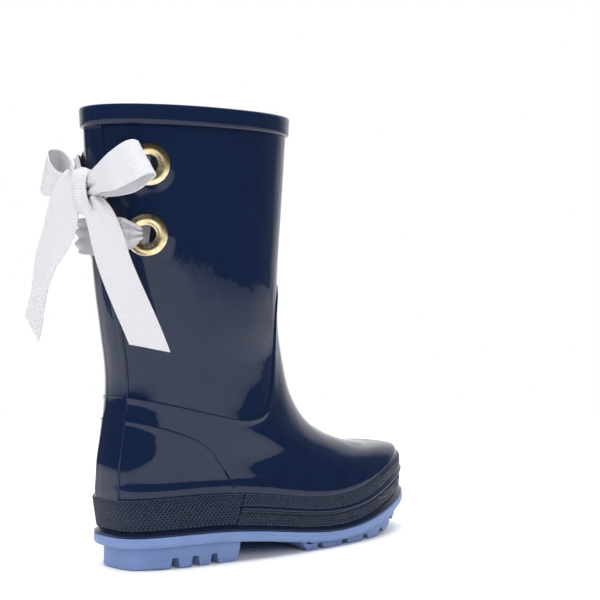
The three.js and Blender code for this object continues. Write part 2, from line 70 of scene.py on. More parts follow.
# back x, back z, front x, front z, sag, heel half-width, ball half-width, widest x, exponents
STATIONS = [
    (-0.2435, 0.0740, 0.7565, 0.0940, -0.0460, 0.416, 0.497, 0.394, 3.0, 2.35),
    (-0.2570, 0.1560, 0.7591, 0.1912, -0.0570, 0.432, 0.500, 0.373, 3.0, 2.3),
    (-0.2570, 0.1905, 0.7150, 0.2105, -0.0330, 0.421, 0.473, 0.321, 2.9, 2.2),
    (-0.2534, 0.2358, 0.5907, 0.2190, -0.0050, 0.410, 0.438, 0.228, 2.8, 2.0),
    (-0.2425, 0.2902, 0.4223, 0.2698, 0.0, 0.402, 0.427, 0.114, 2.6, 1.95),
    (-0.2311, 0.3537, 0.3394, 0.3469, 0.0, 0.405, 0.413, 0.041, 2.4, 1.95),
    (-0.2311, 0.4263, 0.2995, 0.4444, 0.0, 0.416, 0.416, 0.010, 2.2, 2.0),
    (-0.2456, 0.5125, 0.2725, 0.5351, 0.0, 0.432, 0.432, 0.0, 2.1, 2.15),
    (-0.2663, 0.6349, 0.2674, 0.6485, 0.0, 0.446, 0.446, 0.0, 2.1, 2.25),
    (-0.2850, 0.7937, 0.2808, 0.8027, 0.0, 0.454, 0.454, 0.0, 2.1, 2.3),
    (-0.3016, 1.0, 0.3016, 1.0, 0.0, 0.4565, 0.4565, 0.0, 2.1, 2.3),
]
SCALE = (LENGTH, HEIGHT, LENGTH, HEIGHT, HEIGHT, BALL, BALL, LENGTH, 1, 1)
TOP = len(STATIONS) - 1
TOE_SWING = 4.0


def blend_rows(rows, s, columns):
    """Smooth curve through rows of numbers, s counts the rows."""
    j = min(max(int(math.floor(s)), 0), len(rows) - 2)
    u = s - j
    out = []
    for c in columns:
        b, d = rows[j][c], rows[j + 1][c]
        a = rows[j - 1][c] if j > 0 else 2 * b - d
        e = rows[j + 2][c] if j + 2 < len(rows) else 2 * d - b
        out.append(0.5 * (2 * b + (d - a) * u + (2 * a - 5 * b + 4 * d - e) * u * u
                          + (3 * b - a - 3 * d + e) * u * u * u))
    return out


def station(k):
    return [n * v for n, v in zip(SCALE, blend_rows(STATIONS, k, range(10)))]


def power(value, exponent):
    return math.copysign(abs(value) ** exponent, value)


def last(k, t, off=0.0, row=None):
    """Point of the skin in mm: station k, angle t round the boot, moved out by off."""
    xb, zb, xf, zf, sag, heel, ball, wide, n_back, n_front = row or station(k)
    c, s = math.cos(t), math.sin(t)
    ex = 2 / (n_front if c > 0 else n_back)
    x = wide + ((xf - wide if c > 0 else wide - xb) + off) * power(c, ex)
    m = min(max((wide - x) / (wide - xb) / 0.75, 0), 1)
    half = ball + (heel - ball) * m * m * (3 - 2 * m) + off
    q = min(max((x - xb) / (xf - xb), 0), 1)
    lean = TOE_SWING * max((x / LENGTH - 0.155) / 0.57, 0) ** 2 * math.exp(-max(k - 1, 0) / 1.5)
    z = zb + (zf - zb) * q + sag * math.sin(math.pi * q ** 1.5) ** 2
    return Vector((x, half * power(s, ex) + lean, z))


print("mouth of the leg", [round(v, 1) for v in last(TOP, 0)])

# %% [markdown]
# The camera stands behind the boot on its outer side, a little above the ground, and looks along
# the foot to the toe. It is made first, so that every later step can be judged in the same view.

# %% Camera
VIEW_TURN, VIEW_PAN, VIEW_TILT = math.radians(39.9), math.radians(4.45), math.radians(-1.35)
VIEW_DISTANCE, VIEW_HEIGHT = 0.728, 0.145
toward = Vector((math.sin(VIEW_TURN), math.cos(VIEW_TURN), 0))
sideways = Vector((toward.y, -toward.x, 0))
level = math.cos(VIEW_PAN) * toward + math.sin(VIEW_PAN) * sideways
view_right = Vector((level.y, -level.x, 0))
view_axis = math.cos(VIEW_TILT) * level + math.sin(VIEW_TILT) * Vector((0, 0, 1))
view_up = view_right.cross(view_axis)
camera_data = bpy.data.cameras.new("camera")
camera_data.lens, camera_data.sensor_width = 87.24, 36
camera_data.clip_start, camera_data.clip_end = 0.05, 60
camera = bpy.data.objects.new("camera", camera_data)
bpy.context.scene.collection.objects.link(camera)
camera.matrix_world = Matrix.Translation(-VIEW_DISTANCE * toward
                                         + Vector((0, 0, VIEW_HEIGHT))) @ Matrix(
    (view_right, view_up, -view_axis)).transposed().to_4x4()
bpy.context.scene.camera = camera
print("camera at", [round(v, 3) for v in camera.matrix_world.translation])

# %% [markdown]
# Glossy rubber is judged by what it mirrors. A pale floor lights the lower part of the boot, a
# bright far side gives the thin white rims of the outline, and the near side stays dim, so the
# upper leg stays dark blue.

# %% Floor, world and soft lights
FLOOR_RADIUS, FADE_FROM, FADE_TO = 2.3, 0.22, 0.75
STUDIO_GREYS = ((0.0, 0.05), (0.60, 0.06), (0.80, 0.16), (0.90, 0.85))
bm = bmesh.new()
bmesh.ops.create_circle(bm, cap_ends=True, segments=96, radius=FLOOR_RADIUS)
floor_mesh = bpy.data.meshes.new("floor")
bm.to_mesh(floor_mesh)
bm.free()
floor = bpy.data.objects.new("floor", floor_mesh)
bpy.context.scene.collection.objects.link(floor)
floor_paint = bpy.data.materials.new("floor_paint")
floor_paint.use_nodes = True
floor_paint.node_tree.nodes["Principled BSDF"].inputs["Base Color"].default_value = (0.9, 0.9, 0.91, 1)
floor_paint.node_tree.nodes["Principled BSDF"].inputs["Roughness"].default_value = 0.6
floor_mesh.materials.append(floor_paint)
fn, fl = floor_paint.node_tree.nodes, floor_paint.node_tree.links
f_mix, f_glow, f_path, f_far, f_len, f_place, f_both = (fn.new("ShaderNode" + kind) for kind in (
    "MixShader", "Emission", "LightPath", "MapRange", "VectorMath", "TexCoord", "Math"))
f_len.operation, f_both.operation = "LENGTH", "MULTIPLY"
f_far.inputs["From Min"].default_value, f_far.inputs["From Max"].default_value = FADE_FROM, FADE_TO
fl.new(f_place.outputs["Object"], f_len.inputs[0])
fl.new(f_len.outputs["Value"], f_far.inputs["Value"])
fl.new(f_far.outputs[0], f_both.inputs[0])
fl.new(f_path.outputs["Is Camera Ray"], f_both.inputs[1])
fl.new(f_both.outputs[0], f_mix.inputs[0])
fl.new(fn["Principled BSDF"].outputs[0], f_mix.inputs[1])
fl.new(f_glow.outputs[0], f_mix.inputs[2])
fl.new(f_mix.outputs[0], fn["Material Output"].inputs[0])

world = bpy.data.worlds.new("studio")
bpy.context.scene.world = world
world.use_nodes = True
wn, wl = world.node_tree.nodes, world.node_tree.links
wn.clear()
w_out, w_mix = wn.new("ShaderNodeOutputWorld"), wn.new("ShaderNodeMixShader")
w_seen, w_studio = wn.new("ShaderNodeBackground"), wn.new("ShaderNodeBackground")
w_path, w_place, w_dot = wn.new("ShaderNodeLightPath"), wn.new("ShaderNodeTexCoord"), wn.new("ShaderNodeVectorMath")
w_ramp = wn.new("ShaderNodeValToRGB")
w_dot.operation = "DOT_PRODUCT"
w_dot.inputs[1].default_value = (0.5 * toward.x, 0.5 * toward.y, 0.16)
w_shift = wn.new("ShaderNodeMath")
w_shift.operation = "ADD"
w_shift.inputs[1].default_value = 0.5
for at, grey in STUDIO_GREYS:
    stop = w_ramp.color_ramp.elements.new(at) if 0 < at < 1 else w_ramp.color_ramp.elements[0]
    stop.position, stop.color = at, (grey, grey, grey * 1.02, 1)
w_ramp.color_ramp.elements[-1].color = (1.0, 1.0, 1.02, 1)
wl.new(w_place.outputs["Generated"], w_dot.inputs[0])
wl.new(w_dot.outputs["Value"], w_shift.inputs[0])
wl.new(w_shift.outputs[0], w_ramp.inputs[0])
wl.new(w_ramp.outputs[0], w_studio.inputs["Color"])
w_seen.inputs["Color"].default_value = (1, 1, 1, 1)
bpy.context.scene.view_settings.view_transform = "Standard"
wl.new(w_path.outputs["Is Camera Ray"], w_mix.inputs[0])
wl.new(w_studio.outputs[0], w_mix.inputs[1])
wl.new(w_seen.outputs[0], w_mix.inputs[2])
wl.new(w_mix.outputs[0], w_out.inputs["Surface"])


def soft_light(name, place, target, size, watts):
    """A broad lamp that lights the boot but isn't mirrored in it."""
    data = bpy.data.lights.new(name, "AREA")
    data.shape, data.size, data.size_y, data.energy = "RECTANGLE", size[0], size[1], watts
    lamp = bpy.data.objects.new(name, data)
    bpy.context.scene.collection.objects.link(lamp)
    aim = (Vector(target) - Vector(place)).to_track_quat("-Z", "Y")
    lamp.matrix_world = Matrix.Translation(place) @ aim.to_matrix().to_4x4()
    lamp.visible_glossy = False


soft_light("light_above", (0.1, 0.1, 1.6), (0.03, 0, 0), (2.4, 2.4), 62)
soft_light("light_left", (-1.1, 0.15, 0.9), (0, 0, 0.12), (0.35, 1.1), 8)
soft_light("light_front", (-0.5, -1.6, 0.9), (0, 0, 0.1), (1.2, 0.8), 16)

# %% [markdown]
# ## Finishes
# Two effects are used by several finishes, so they are node groups: the slow waviness and fine
# pores of a moulded skin, and the crosswise ribs of a woven textile. The groups only put out
# heights and masks; each material keeps its own shader.

# %% Node groups for moulded skin and weave
def group_of(name, inputs, outputs):
    tree = bpy.data.node_groups.new(name, "ShaderNodeTree")
    for label, kind, value in inputs:
        socket = tree.interface.new_socket(label, in_out="INPUT", socket_type=kind)
        if value is not None:
            socket.default_value = value
    for label, kind in outputs:
        tree.interface.new_socket(label, in_out="OUTPUT", socket_type=kind)
    return tree, tree.nodes.new("NodeGroupInput"), tree.nodes.new("NodeGroupOutput")


def math_node(tree, operation, a, b=None, c=None):
    node = tree.nodes.new("ShaderNodeMath")
    node.operation = operation
    for socket, value in zip(node.inputs, (a, b, c)):
        if value is None:
            continue
        if isinstance(value, (int, float)):
            socket.default_value = value
        else:
            tree.links.new(value, socket)
    return node.outputs[0]


def noise_node(tree, vector, scale, detail, rough=0.5):
    node = tree.nodes.new("ShaderNodeTexNoise")
    node.inputs["Scale"].default_value = scale
    node.inputs["Detail"].default_value = detail
    node.inputs["Roughness"].default_value = rough
    tree.links.new(vector, node.inputs["Vector"])
    return node.outputs["Fac"]


moulded, m_in, m_out = group_of(
    "moulded_skin", (("Place", "NodeSocketVector", None), ("Waves", "NodeSocketFloat", 0.6), ("Pores",
            "NodeSocketFloat", 0.1)),
    (("Height", "NodeSocketFloat"), ("Patches", "NodeSocketFloat")))
upright = moulded.nodes.new("ShaderNodeMapping")
upright.inputs["Scale"].default_value = (1, 1, 0.35)
moulded.links.new(m_in.outputs["Place"], upright.inputs["Vector"])
slow = noise_node(moulded, upright.outputs[0], 34, 5, 0.46)
fine = noise_node(moulded, m_in.outputs["Place"], 1600, 3)
moulded.links.new(math_node(moulded, "ADD", math_node(moulded, "MULTIPLY", slow, m_in.outputs["Waves"]),
                            math_node(moulded, "MULTIPLY", fine, m_in.outputs["Pores"])),
                            m_out.inputs["Height"])
moulded.links.new(noise_node(moulded, m_in.outputs["Place"], 90, 5, 0.6), m_out.inputs["Patches"])

TURN = 6.2832
weave, v_in, v_out = group_of(
    "ribbed_weave", (("Place", "NodeSocketVector", None), ("Ribs", "NodeSocketFloat", 1100.0),
                     ("Threads", "NodeSocketFloat", 3000.0)),
    (("Height", "NodeSocketFloat"), ("ValleyShade", "NodeSocketFloat"), ("Fuzz", "NodeSocketFloat")))
v_split = weave.nodes.new("ShaderNodeSeparateXYZ")
weave.links.new(v_in.outputs["Place"], v_split.inputs[0])
rib = math_node(weave, "SINE", math_node(weave, "MULTIPLY", math_node(weave, "MULTIPLY",
        v_split.outputs["Y"], v_in.outputs["Ribs"]), TURN))
thread = math_node(weave, "SINE", math_node(weave, "MULTIPLY", math_node(weave, "MULTIPLY",
        v_split.outputs["X"], v_in.outputs["Threads"]), TURN))
rib01 = math_node(weave, "MULTIPLY_ADD", rib, 0.5, 0.5)
weave.links.new(math_node(weave, "ADD", rib01, math_node(weave, "MULTIPLY", thread, 0.14)),
                v_out.inputs["Height"])
# The rib mask below is low between the ribs; the ribbon uses it to paint shade into its colour
weave.links.new(rib01, v_out.inputs["ValleyShade"])
weave.links.new(noise_node(weave, v_in.outputs["Place"], 900, 4, 0.65), v_out.inputs["Fuzz"])
print("groups", [g.name for g in bpy.data.node_groups])

# %% Materials
def new_material(name):
    paint = bpy.data.materials.new(name)
    paint.use_nodes = True
    tree = paint.node_tree
    return paint, tree, tree.nodes["Principled BSDF"]


def ramp_node(tree, factor, stops):
    node = tree.nodes.new("ShaderNodeValToRGB")
    for i, (at, colour) in enumerate(stops):
        stop = node.color_ramp.elements[i] if i < 2 else node.color_ramp.elements.new(at)
        stop.position, stop.color = at, (*colour, 1)
    tree.links.new(factor, node.inputs[0])
    return node.outputs[0]


def bump_node(tree, shader, height, depth, strength=1.0):
    node = tree.nodes.new("ShaderNodeBump")
    node.inputs["Distance"].default_value = depth
    node.inputs["Strength"].default_value = strength
    tree.links.new(height, node.inputs["Height"])
    tree.links.new(node.outputs[0], shader.inputs["Normal"])


def moulded_material(name, dark, light, rough, waves, pores, depth, ior=1.5):
    """Rubber: two close colours in soft patches, uneven gloss, slow waves and pores."""
    paint, tree, shader = new_material(name)
    place = tree.nodes.new("ShaderNodeTexCoord").outputs["Object"]
    skin = tree.nodes.new("ShaderNodeGroup")
    skin.node_tree = moulded
    skin.inputs["Waves"].default_value, skin.inputs["Pores"].default_value = waves, pores
    tree.links.new(place, skin.inputs["Place"])
    tree.links.new(ramp_node(tree, skin.outputs["Patches"], ((0.3, dark), (0.72, light))),
                   shader.inputs["Base Color"])
    low, high = rough
    tree.links.new(math_node(tree, "MULTIPLY_ADD", skin.outputs["Patches"], high - low, low),
                   shader.inputs["Roughness"])
    bump_node(tree, shader, skin.outputs["Height"], depth)
    shader.inputs["IOR"].default_value = ior
    return paint


gloss_rubber = moulded_material("gloss_navy_rubber", (0.0048, 0.0110, 0.034), (0.0062, 0.0136, 0.040),
                                (0.018, 0.045), 1.0, 0.0, 0.0008, ior=1.38)
grip_rubber = moulded_material("knurled_navy_rubber", (0.0050, 0.0110, 0.032), (0.0085, 0.016, 0.042),
                               (0.14, 0.26), 0.3, 0.2, 0.0001, ior=1.45)
sole_rubber = moulded_material("blue_sole_rubber", (0.128, 0.200, 0.40), (0.158, 0.238, 0.46),
                               (0.42, 0.58), 0.25, 0.6, 0.00012)
lip_rubber = moulded_material("lip_navy_rubber", (0.0050, 0.0100, 0.028), (0.0070, 0.0130, 0.035),
                              (0.10, 0.18), 0.5, 0.0, 0.0002)


def brass_material():
    """Plated brass: bright where it is rubbed, brown in the patches between, fine scratches."""
    paint, tree, shader = new_material("aged_brass")
    place = tree.nodes.new("ShaderNodeTexCoord").outputs["Object"]
    patches = noise_node(tree, place, 420, 6, 0.65)
    scratches = noise_node(tree, place, 2600, 2, 0.5)
    tree.links.new(ramp_node(tree, patches, ((0.28, (0.44, 0.33, 0.15)), (0.5, (0.70, 0.58, 0.34)),
                                             (0.8, (0.86, 0.77, 0.54)))),
                   shader.inputs["Base Color"])
    tree.links.new(math_node(tree, "MULTIPLY_ADD", patches, -0.22, 0.40), shader.inputs["Roughness"])
    shader.inputs["Metallic"].default_value = 1
    bump_node(tree, shader, scratches, 0.00004)
    return paint


RIBS_PER_METRE, THREADS_PER_METRE = 1000.0, 2600


def ribbon_material(name):
    """Grosgrain: heavy crosswise ribs, a fine thread across them and a little fuzz; the colour is darker in the rib
    valleys, as painted shade.
    """
    paint, tree, shader = new_material(name)
    uv = tree.nodes.new("ShaderNodeUVMap")
    uv.uv_map = "weave"
    cloth = tree.nodes.new("ShaderNodeGroup")
    cloth.node_tree = weave
    cloth.inputs["Ribs"].default_value = RIBS_PER_METRE
    cloth.inputs["Threads"].default_value = THREADS_PER_METRE
    tree.links.new(uv.outputs[0], cloth.inputs["Place"])
    # colour: random fuzz plus painted shade in the rib valleys
    shade = math_node(tree, "MULTIPLY_ADD", cloth.outputs["Fuzz"], 0.35,
                      math_node(tree, "MULTIPLY", cloth.outputs["ValleyShade"], 0.65))
    tree.links.new(ramp_node(tree, shade, ((0.12, (0.475, 0.475, 0.505)), (0.75, (0.565, 0.56, 0.59)))),
                   shader.inputs["Base Color"])
    tree.links.new(math_node(tree, "MULTIPLY_ADD", cloth.outputs["Fuzz"], 0.2, 0.66),
                   shader.inputs["Roughness"])
    shader.inputs["Sheen Weight"].default_value = 0.1
    shader.inputs["Sheen Roughness"].default_value = 0.5
    bump_node(tree, shader, cloth.outputs["Height"], 0.00010, 0.35)
    return paint


def lining_material():
    """Knitted lining: a tight two-way weave on Object coordinates."""
    paint, tree, shader = new_material("grey_knit_lining")
    place = tree.nodes.new("ShaderNodeTexCoord").outputs["Object"]
    knit = tree.nodes.new("ShaderNodeTexVoronoi")
    knit.inputs["Scale"].default_value = 900
    tree.links.new(place, knit.inputs["Vector"])
    fuzz = noise_node(tree, place, 700, 4, 0.6)
    tree.links.new(ramp_node(tree, math_node(tree, "ADD", math_node(tree, "MULTIPLY",
            knit.outputs["Distance"], 0.5), math_node(tree, "MULTIPLY", fuzz, 0.5)),
                             ((0.2, (0.010, 0.013, 0.026)), (0.75, (0.030, 0.036, 0.062)))),
                             shader.inputs["Base Color"])
    shader.inputs["Roughness"].default_value = 0.95
    bump_node(tree, shader, knit.outputs["Distance"], 0.0003)
    return paint


brass = brass_material()
grosgrain = ribbon_material("white_grosgrain")
knit_lining = lining_material()
print("materials", [m.name for m in bpy.data.materials])

# %% [markdown]
# ## Helpers for making pieces
# A piece that wraps the last is a flat grid rolled into place: `create_grid` gives the sheet, its
# points are moved onto the last, and the edges that meet are welded. Sampling the outline at even
# steps of its true length keeps the knurl and the highlights regular.

# %% Grid pieces
WELD = 2e-6                   # m, points closer than this are one


def even_turn(count, k, off=0.0, start=-math.pi, stop=math.pi, fine=1600):
    """Angles that divide the outline at station k into steps of equal length."""
    row = station(k)
    angles = [start + (stop - start) * i / fine for i in range(fine + 1)]
    points = [last(k, t, off, row) for t in angles]
    run = [0.0]
    for a, b in zip(points, points[1:]):
        run.append(run[-1] + (b - a).length)
    out, j = [], 0
    for i in range(count + 1):
        goal = run[-1] * i / count
        while j < fine - 1 and run[j + 1] < goal:
            j += 1
        part = (goal - run[j]) / max(run[j + 1] - run[j], 1e-9)
        out.append(angles[j] + (angles[j + 1] - angles[j]) * part)
    return out, run[-1]


def finish_mesh(name, bm, material, smooth=True):
    mesh = bpy.data.meshes.new(name)
    for face in bm.faces:
        face.smooth = smooth
    bm.to_mesh(mesh)
    bm.free()
    mesh.materials.append(material)
    piece = bpy.data.objects.new(name, mesh)
    bpy.context.scene.collection.objects.link(piece)
    print(name, len(mesh.polygons), "faces")
    return piece


def stand_in(piece, slot, *nodes):
    """Show a piece in place of nodes of the frame; it moves with the boot."""
    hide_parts(*nodes)
    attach(piece, "boot")


def halve(low, high, rounds, is_low):
    """Bisection; is_low(middle) says that the answer lies above the middle."""
    for _ in range(rounds):
        middle = (low + high) / 2
        low, high = (middle, high) if is_low(middle) else (low, middle)
    return middle


def rolled_grid(across, along, place, cap=False, uv_size=None):
    """A grid whose point (i, j) goes to place(i, j), in mm; meeting edges are welded."""
    bm = bmesh.new()
    layer = bm.loops.layers.uv.new("weave") if uv_size else None
    bmesh.ops.create_grid(bm, x_segments=across, y_segments=along, size=0.5)
    for face in bm.faces if uv_size else ():
        for loop in face.loops:
            u, v = loop.vert.co.x + 0.5, loop.vert.co.y + 0.5
            loop[layer].uv = (u * uv_size[0] * MM, v * uv_size[1] * MM)
    for vert in bm.verts:
        i, j = round((vert.co.x + 0.5) * across), round((vert.co.y + 0.5) * along)
        vert.co = place(i, j) * MM
    bmesh.ops.remove_doubles(bm, verts=bm.verts, dist=WELD)
    if cap:
        bmesh.ops.holes_fill(bm, edges=[e for e in bm.edges if e.is_boundary], sides=0)
    bmesh.ops.recalc_face_normals(bm, faces=bm.faces)
    return bm


def closed_volume(bm):
    if bm.calc_volume(signed=True) < 0:
        bmesh.ops.reverse_faces(bm, faces=bm.faces)
    return bm


def seam_table(points, steps=240):
    """Side-view height of a seam for every x, as a table of its smooth curve."""
    rows = [(LENGTH * x, HEIGHT * z) for x, z in points]
    curve = [blend_rows(rows, (len(rows) - 1) * i / steps, (0, 1)) for i in range(steps + 1)]

    def height(x):
        if x <= curve[0][0]:
            return curve[0][1], 0.0
        for (x0, z0), (x1, z1) in zip(curve, curve[1:]):
            if x <= x1:
                return z0 + (z1 - z0) * (x - x0) / (x1 - x0), (z1 - z0) / (x1 - x0)
        return curve[-1][1], 0.0
    return height


LEG_SEAM = seam_table(((-0.42, 0.42), (-0.187, 0.367), (-0.111, 0.349), (-0.041, 0.333),
                       (0.031, 0.3175),
                       (0.078, 0.314), (0.119, 0.322), (0.150, 0.347), (0.171, 0.390), (0.192, 0.472),
                       (0.210, 0.553), (0.233, 0.596), (0.269, 0.626), (0.42, 0.66)))
COUNTER_SEAM = seam_table(((-0.42, 0.352), (-0.249, 0.330), (-0.187, 0.314), (-0.124, 0.294),
                           (-0.076, 0.274),
                           (-0.034, 0.243), (-0.0005, 0.207), (0.0197, 0.177), (0.036, 0.14),
                           (0.05, 0.09)))


def seam_station(seam, t, low=1.0, high=9.0):
    """Station at which the skin at angle t crosses a seam, and mm of seam distance per station."""
    def below(k):
        p = last(k, t)
        return p.z < seam(p.x)[0]

    k = halve(low, high, 26, below)
    slope = seam(last(k, t).x)[1]
    rise = (last(k + 0.02, t) - last(k - 0.02, t)).length / 0.04
    return k, rise / math.sqrt(1 + slope * slope)


def clamped(u):
    return min(max(u, 0), 1)


def soft_step(v, a, b):
    w = clamped((v - a) / (b - a))
    return w * w * (3 - 2 * w)


print("leg seam at the front", round(seam_station(LEG_SEAM, 0.0)[0], 2))

# %% [markdown]
# ## Upper
# The panels of a moulded boot lie over each other: the foot panel's edge stands a little proud of
# the leg along the curved seam, the heel panel lies on the foot panel, and the stay runs up the
# back over both. Each panel is a closed skin that follows its own edge, with a rounded lip there,
# because that lip is what catches the thin white line of light.

# %% Foot panel (vamp)
FOX = 1.0                     # station of the top of the foxing
AROUND_LEG = 360              # steps round the upper
upper_turn, _ = even_turn(AROUND_LEG, 1.6)
leg_edge = [seam_station(LEG_SEAM, t) for t in upper_turn]
EDGE_STEPS = (0.0, 0.1, 0.25, 0.45, 0.7, 1.0, 1.4, 1.9, 2.6, 3.6, 5.0)


def lip_height(d, lip=0.75, base=0.30):
    """Height of an overlapping edge, d mm in from the edge: up quickly, then eases down."""
    up = math.sqrt(max(1 - (1 - min(d / 0.5, 1)) ** 2, 0))
    return up * (base + (lip - base) * (1 - soft_step(d, 0.6, 3.2)))


VAMP_OUT, VAMP_IN = 34, 9      # rows up the outer face and down the inner one
VAMP_FOOT = FOX - 0.12


def vamp_point(i, j):
    k_edge, mm_per_k = leg_edge[i]
    t = upper_turn[i]
    if j <= VAMP_OUT:                       # outer face, from the band up to near the seam
        top_k = k_edge - EDGE_STEPS[-1] / mm_per_k * 0.999
        k = VAMP_FOOT + (max(top_k, FOX) - VAMP_FOOT) * j / VAMP_OUT
        return last(k, t, lip_height(EDGE_STEPS[-1]))
    j -= VAMP_OUT
    if j < len(EDGE_STEPS):                 # rounded lip along the seam
        d = EDGE_STEPS[-1 - j]
        return last(max(k_edge - d / mm_per_k, FOX), t, lip_height(d))
    j -= len(EDGE_STEPS) - 1
    if j <= VAMP_IN:
        return last(k_edge + (VAMP_FOOT - k_edge) * (j - 1) / (VAMP_IN - 1), t, -WALL)
    return last(VAMP_FOOT, t, lip_height(EDGE_STEPS[-1]))


vamp_rows = VAMP_OUT + len(EDGE_STEPS) + VAMP_IN
vamp = finish_mesh("foot_panel", closed_volume(rolled_grid(AROUND_LEG, vamp_rows, vamp_point)),
                   gloss_rubber)
stand_in(vamp, "rubber", "vamp")

# %% [markdown]
# The leg panel is one long sleeve. Four round holes are cut for the eyelets with a boolean, after
# the skin round each hole has been eased out flat, as the clamped metal flattens the real rubber.

# %% Eyelet places
EYELETS = []
EYELET_X = -0.219 * LENGTH
for level_name, share in (("upper", 0.872), ("lower", 0.723)):
    for hand, side in (("left", 1), ("right", -1)):
        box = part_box("eyelet_%s_%s" % (level_name, hand))
        t = math.pi
        for _ in range(3):
            k = halve(5.0, float(TOP), 34, lambda k: last(k, t).z < share * HEIGHT)
            t = halve(math.pi / 2, math.pi, 34, lambda t: last(k, t).x > EYELET_X)
        at = last(k, side * t)
        out = (last(k, side * t + 1e-3) - at).cross(last(k - 1e-3, side * t) - at).normalized()
        if out.x > 0:
            out.negate()
        round_back = Vector((0, 0, -side)).cross(out) * -1
        EYELETS.append({"name": "%s_%s" % (level_name, hand), "side": side, "at": at, "out": out,
                        "back": round_back.normalized()})
        print(EYELETS[-1]["name"], [round(v, 1) for v in at], "cad",
              [round(v * 1000, 1) for v in box[0]])


def eased(p):
    """Push the skin out to the plane under an eyelet's flange, fading to nothing round it."""
    for e in EYELETS:
        r = p - e["at"]
        h = r.dot(e["out"])
        s = (r - e["out"] * h).length
        if s < 17 and h > -6:
            p = p + e["out"] * (0.15 - h) * (1 - soft_step(s, 9.4, 14.0))
    return p


# %% Leg panel
COLLAR_FOOT = HEIGHT - 9.6
collar_k = 9.0 + (COLLAR_FOOT + 1.2 - last(9, 0).z) / (HEIGHT - last(9, 0).z)
leg_turn, _ = even_turn(AROUND_LEG, 8.5)
leg_low = [seam_station(LEG_SEAM, t) for t in leg_turn]


LEG_OUT, LEG_IN = 90, 40       # rows up the outer face and down the inner one


def leg_point(i, j):
    t = leg_turn[i]
    k_low = leg_low[i][0] - 1.3 / leg_low[i][1]
    if j <= LEG_OUT:
        k = k_low + (collar_k - k_low) * j / LEG_OUT
        return eased(last(k, t))
    k = collar_k + (k_low - collar_k) * (j - LEG_OUT - 1) / LEG_IN
    return last(k, t) if j > LEG_OUT + LEG_IN + 1 else eased(last(k, t)) + (last(k, t, -WALL) - last(k,
            t))


leg = finish_mesh("leg_panel", closed_volume(rolled_grid(AROUND_LEG, LEG_OUT + LEG_IN + 2, leg_point)),
                  gloss_rubber)


BORE, BORE_REACH = 5.3, 14


def bore(piece):
    """Cut the eyelet holes through a piece."""
    bm = bmesh.new()
    for e in EYELETS:
        turn = Vector((0, 0, 1)).rotation_difference(e["out"]).to_matrix().to_4x4()
        bmesh.ops.create_cone(bm, cap_ends=True, segments=48, radius1=BORE * MM, radius2=BORE * MM,
                              depth=2 * BORE_REACH * MM,
                              matrix=Matrix.Translation(e["at"] * MM) @ turn)
    cutter = finish_mesh("cutter", bm, gloss_rubber, smooth=False)
    cut = piece.modifiers.new("holes", "BOOLEAN")
    cut.operation, cut.object, cut.solver = "DIFFERENCE", cutter, "EXACT"
    applied = bpy.data.meshes.new_from_object(piece.evaluated_get(bpy.context.evaluated_depsgraph_get()))
    piece.modifiers.clear()
    piece.data = applied
    bpy.data.objects.remove(cutter)
    print("bored", piece.name, len(piece.data.polygons))


bore(leg)
stand_in(leg, "rubber", "leg")

# %% Heel panel
heel_turn, _ = even_turn(260, 1.6, 0, math.pi * 0.32, math.pi * 1.68)
heel_edge = [seam_station(COUNTER_SEAM, t, 0.9) for t in heel_turn]
heel_span = [n for n, (k, _) in enumerate(heel_edge) if k > FOX - 0.08]
heel_kept = slice(heel_span[0] - 1, heel_span[-1] + 2)
heel_turn, heel_edge = heel_turn[heel_kept], heel_edge[heel_kept]
HEEL_OUT, HEEL_PROUD, HEEL_LIP = 16, 0.30, (0.62, 0.24)


def heel_point(i, j):
    k_edge, mm_per_k = heel_edge[i]
    t, foot = heel_turn[i], FOX - 0.1
    if j >= HEEL_OUT + len(EDGE_STEPS):
        return last(max(k_edge, foot) if j == HEEL_OUT + len(EDGE_STEPS) else foot, t, 0.0)
    if j <= HEEL_OUT:
        k = foot + (max(k_edge - EDGE_STEPS[-1] / mm_per_k, foot) - foot) * j / HEEL_OUT
    else:
        k = max(k_edge - EDGE_STEPS[HEEL_OUT - 1 - j] / mm_per_k, foot)
    return last(k, t, HEEL_PROUD + lip_height(max((k_edge - k) * mm_per_k, 0), *HEEL_LIP))


heel_rows = HEEL_OUT + len(EDGE_STEPS) + 1
heel_panel = finish_mesh("heel_panel", closed_volume(rolled_grid(len(heel_turn) - 1, heel_rows + 1,
        lambda i, j: heel_point(i, j if j <= heel_rows else 0), cap=True)), gloss_rubber)
stand_in(heel_panel, "rubber", "counter_outer", "counter_inner")

# %% Back stay
STAY_ROWS = 110
stay_k = [FOX - 0.1 + (collar_k - FOX + 0.1) * n / STAY_ROWS for n in range(STAY_ROWS + 1)]


def stay_half(z):
    return 9.5 + (6.3 - 9.5) * (z + 9) / (HEIGHT + 39)


def stay_turns(k):
    """Angle of the stay's edge at station k."""
    goal, row = stay_half(last(k, math.pi).z), station(k)
    return halve(math.pi / 2, math.pi, 26, lambda t: last(k, t, 0, row).y > goal)


stay_edge = [stay_turns(k) for k in stay_k]
STAY_ACROSS = 44


def stay_point(i, j):
    edge, k = stay_edge[j], stay_k[j]
    under = i > STAY_ACROSS       # the second half of a row runs back underneath
    u = (2 * STAY_ACROSS - i if under else i) / STAY_ACROSS * 2 - 1
    z = last(k, math.pi).z
    y = stay_half(z) * u
    t = halve(edge, math.pi, 22, lambda t: last(k, t).y > abs(y))
    t = t if u >= 0 else 2 * math.pi - t
    if under:
        return last(k, t, -0.2)
    on_heel = 1 - soft_step(z, HEIGHT * 0.33, HEIGHT * 0.345)
    return last(k, t, 0.28 + 0.5 * on_heel + lip_height((1 - abs(u)) * stay_half(100), 0.66, 0.40))


stay = finish_mesh("back_stay_strip", closed_volume(rolled_grid(2 * STAY_ACROSS, STAY_ROWS, stay_point,
        cap=True)), gloss_rubber)
stand_in(stay, "rubber", "back_stay")

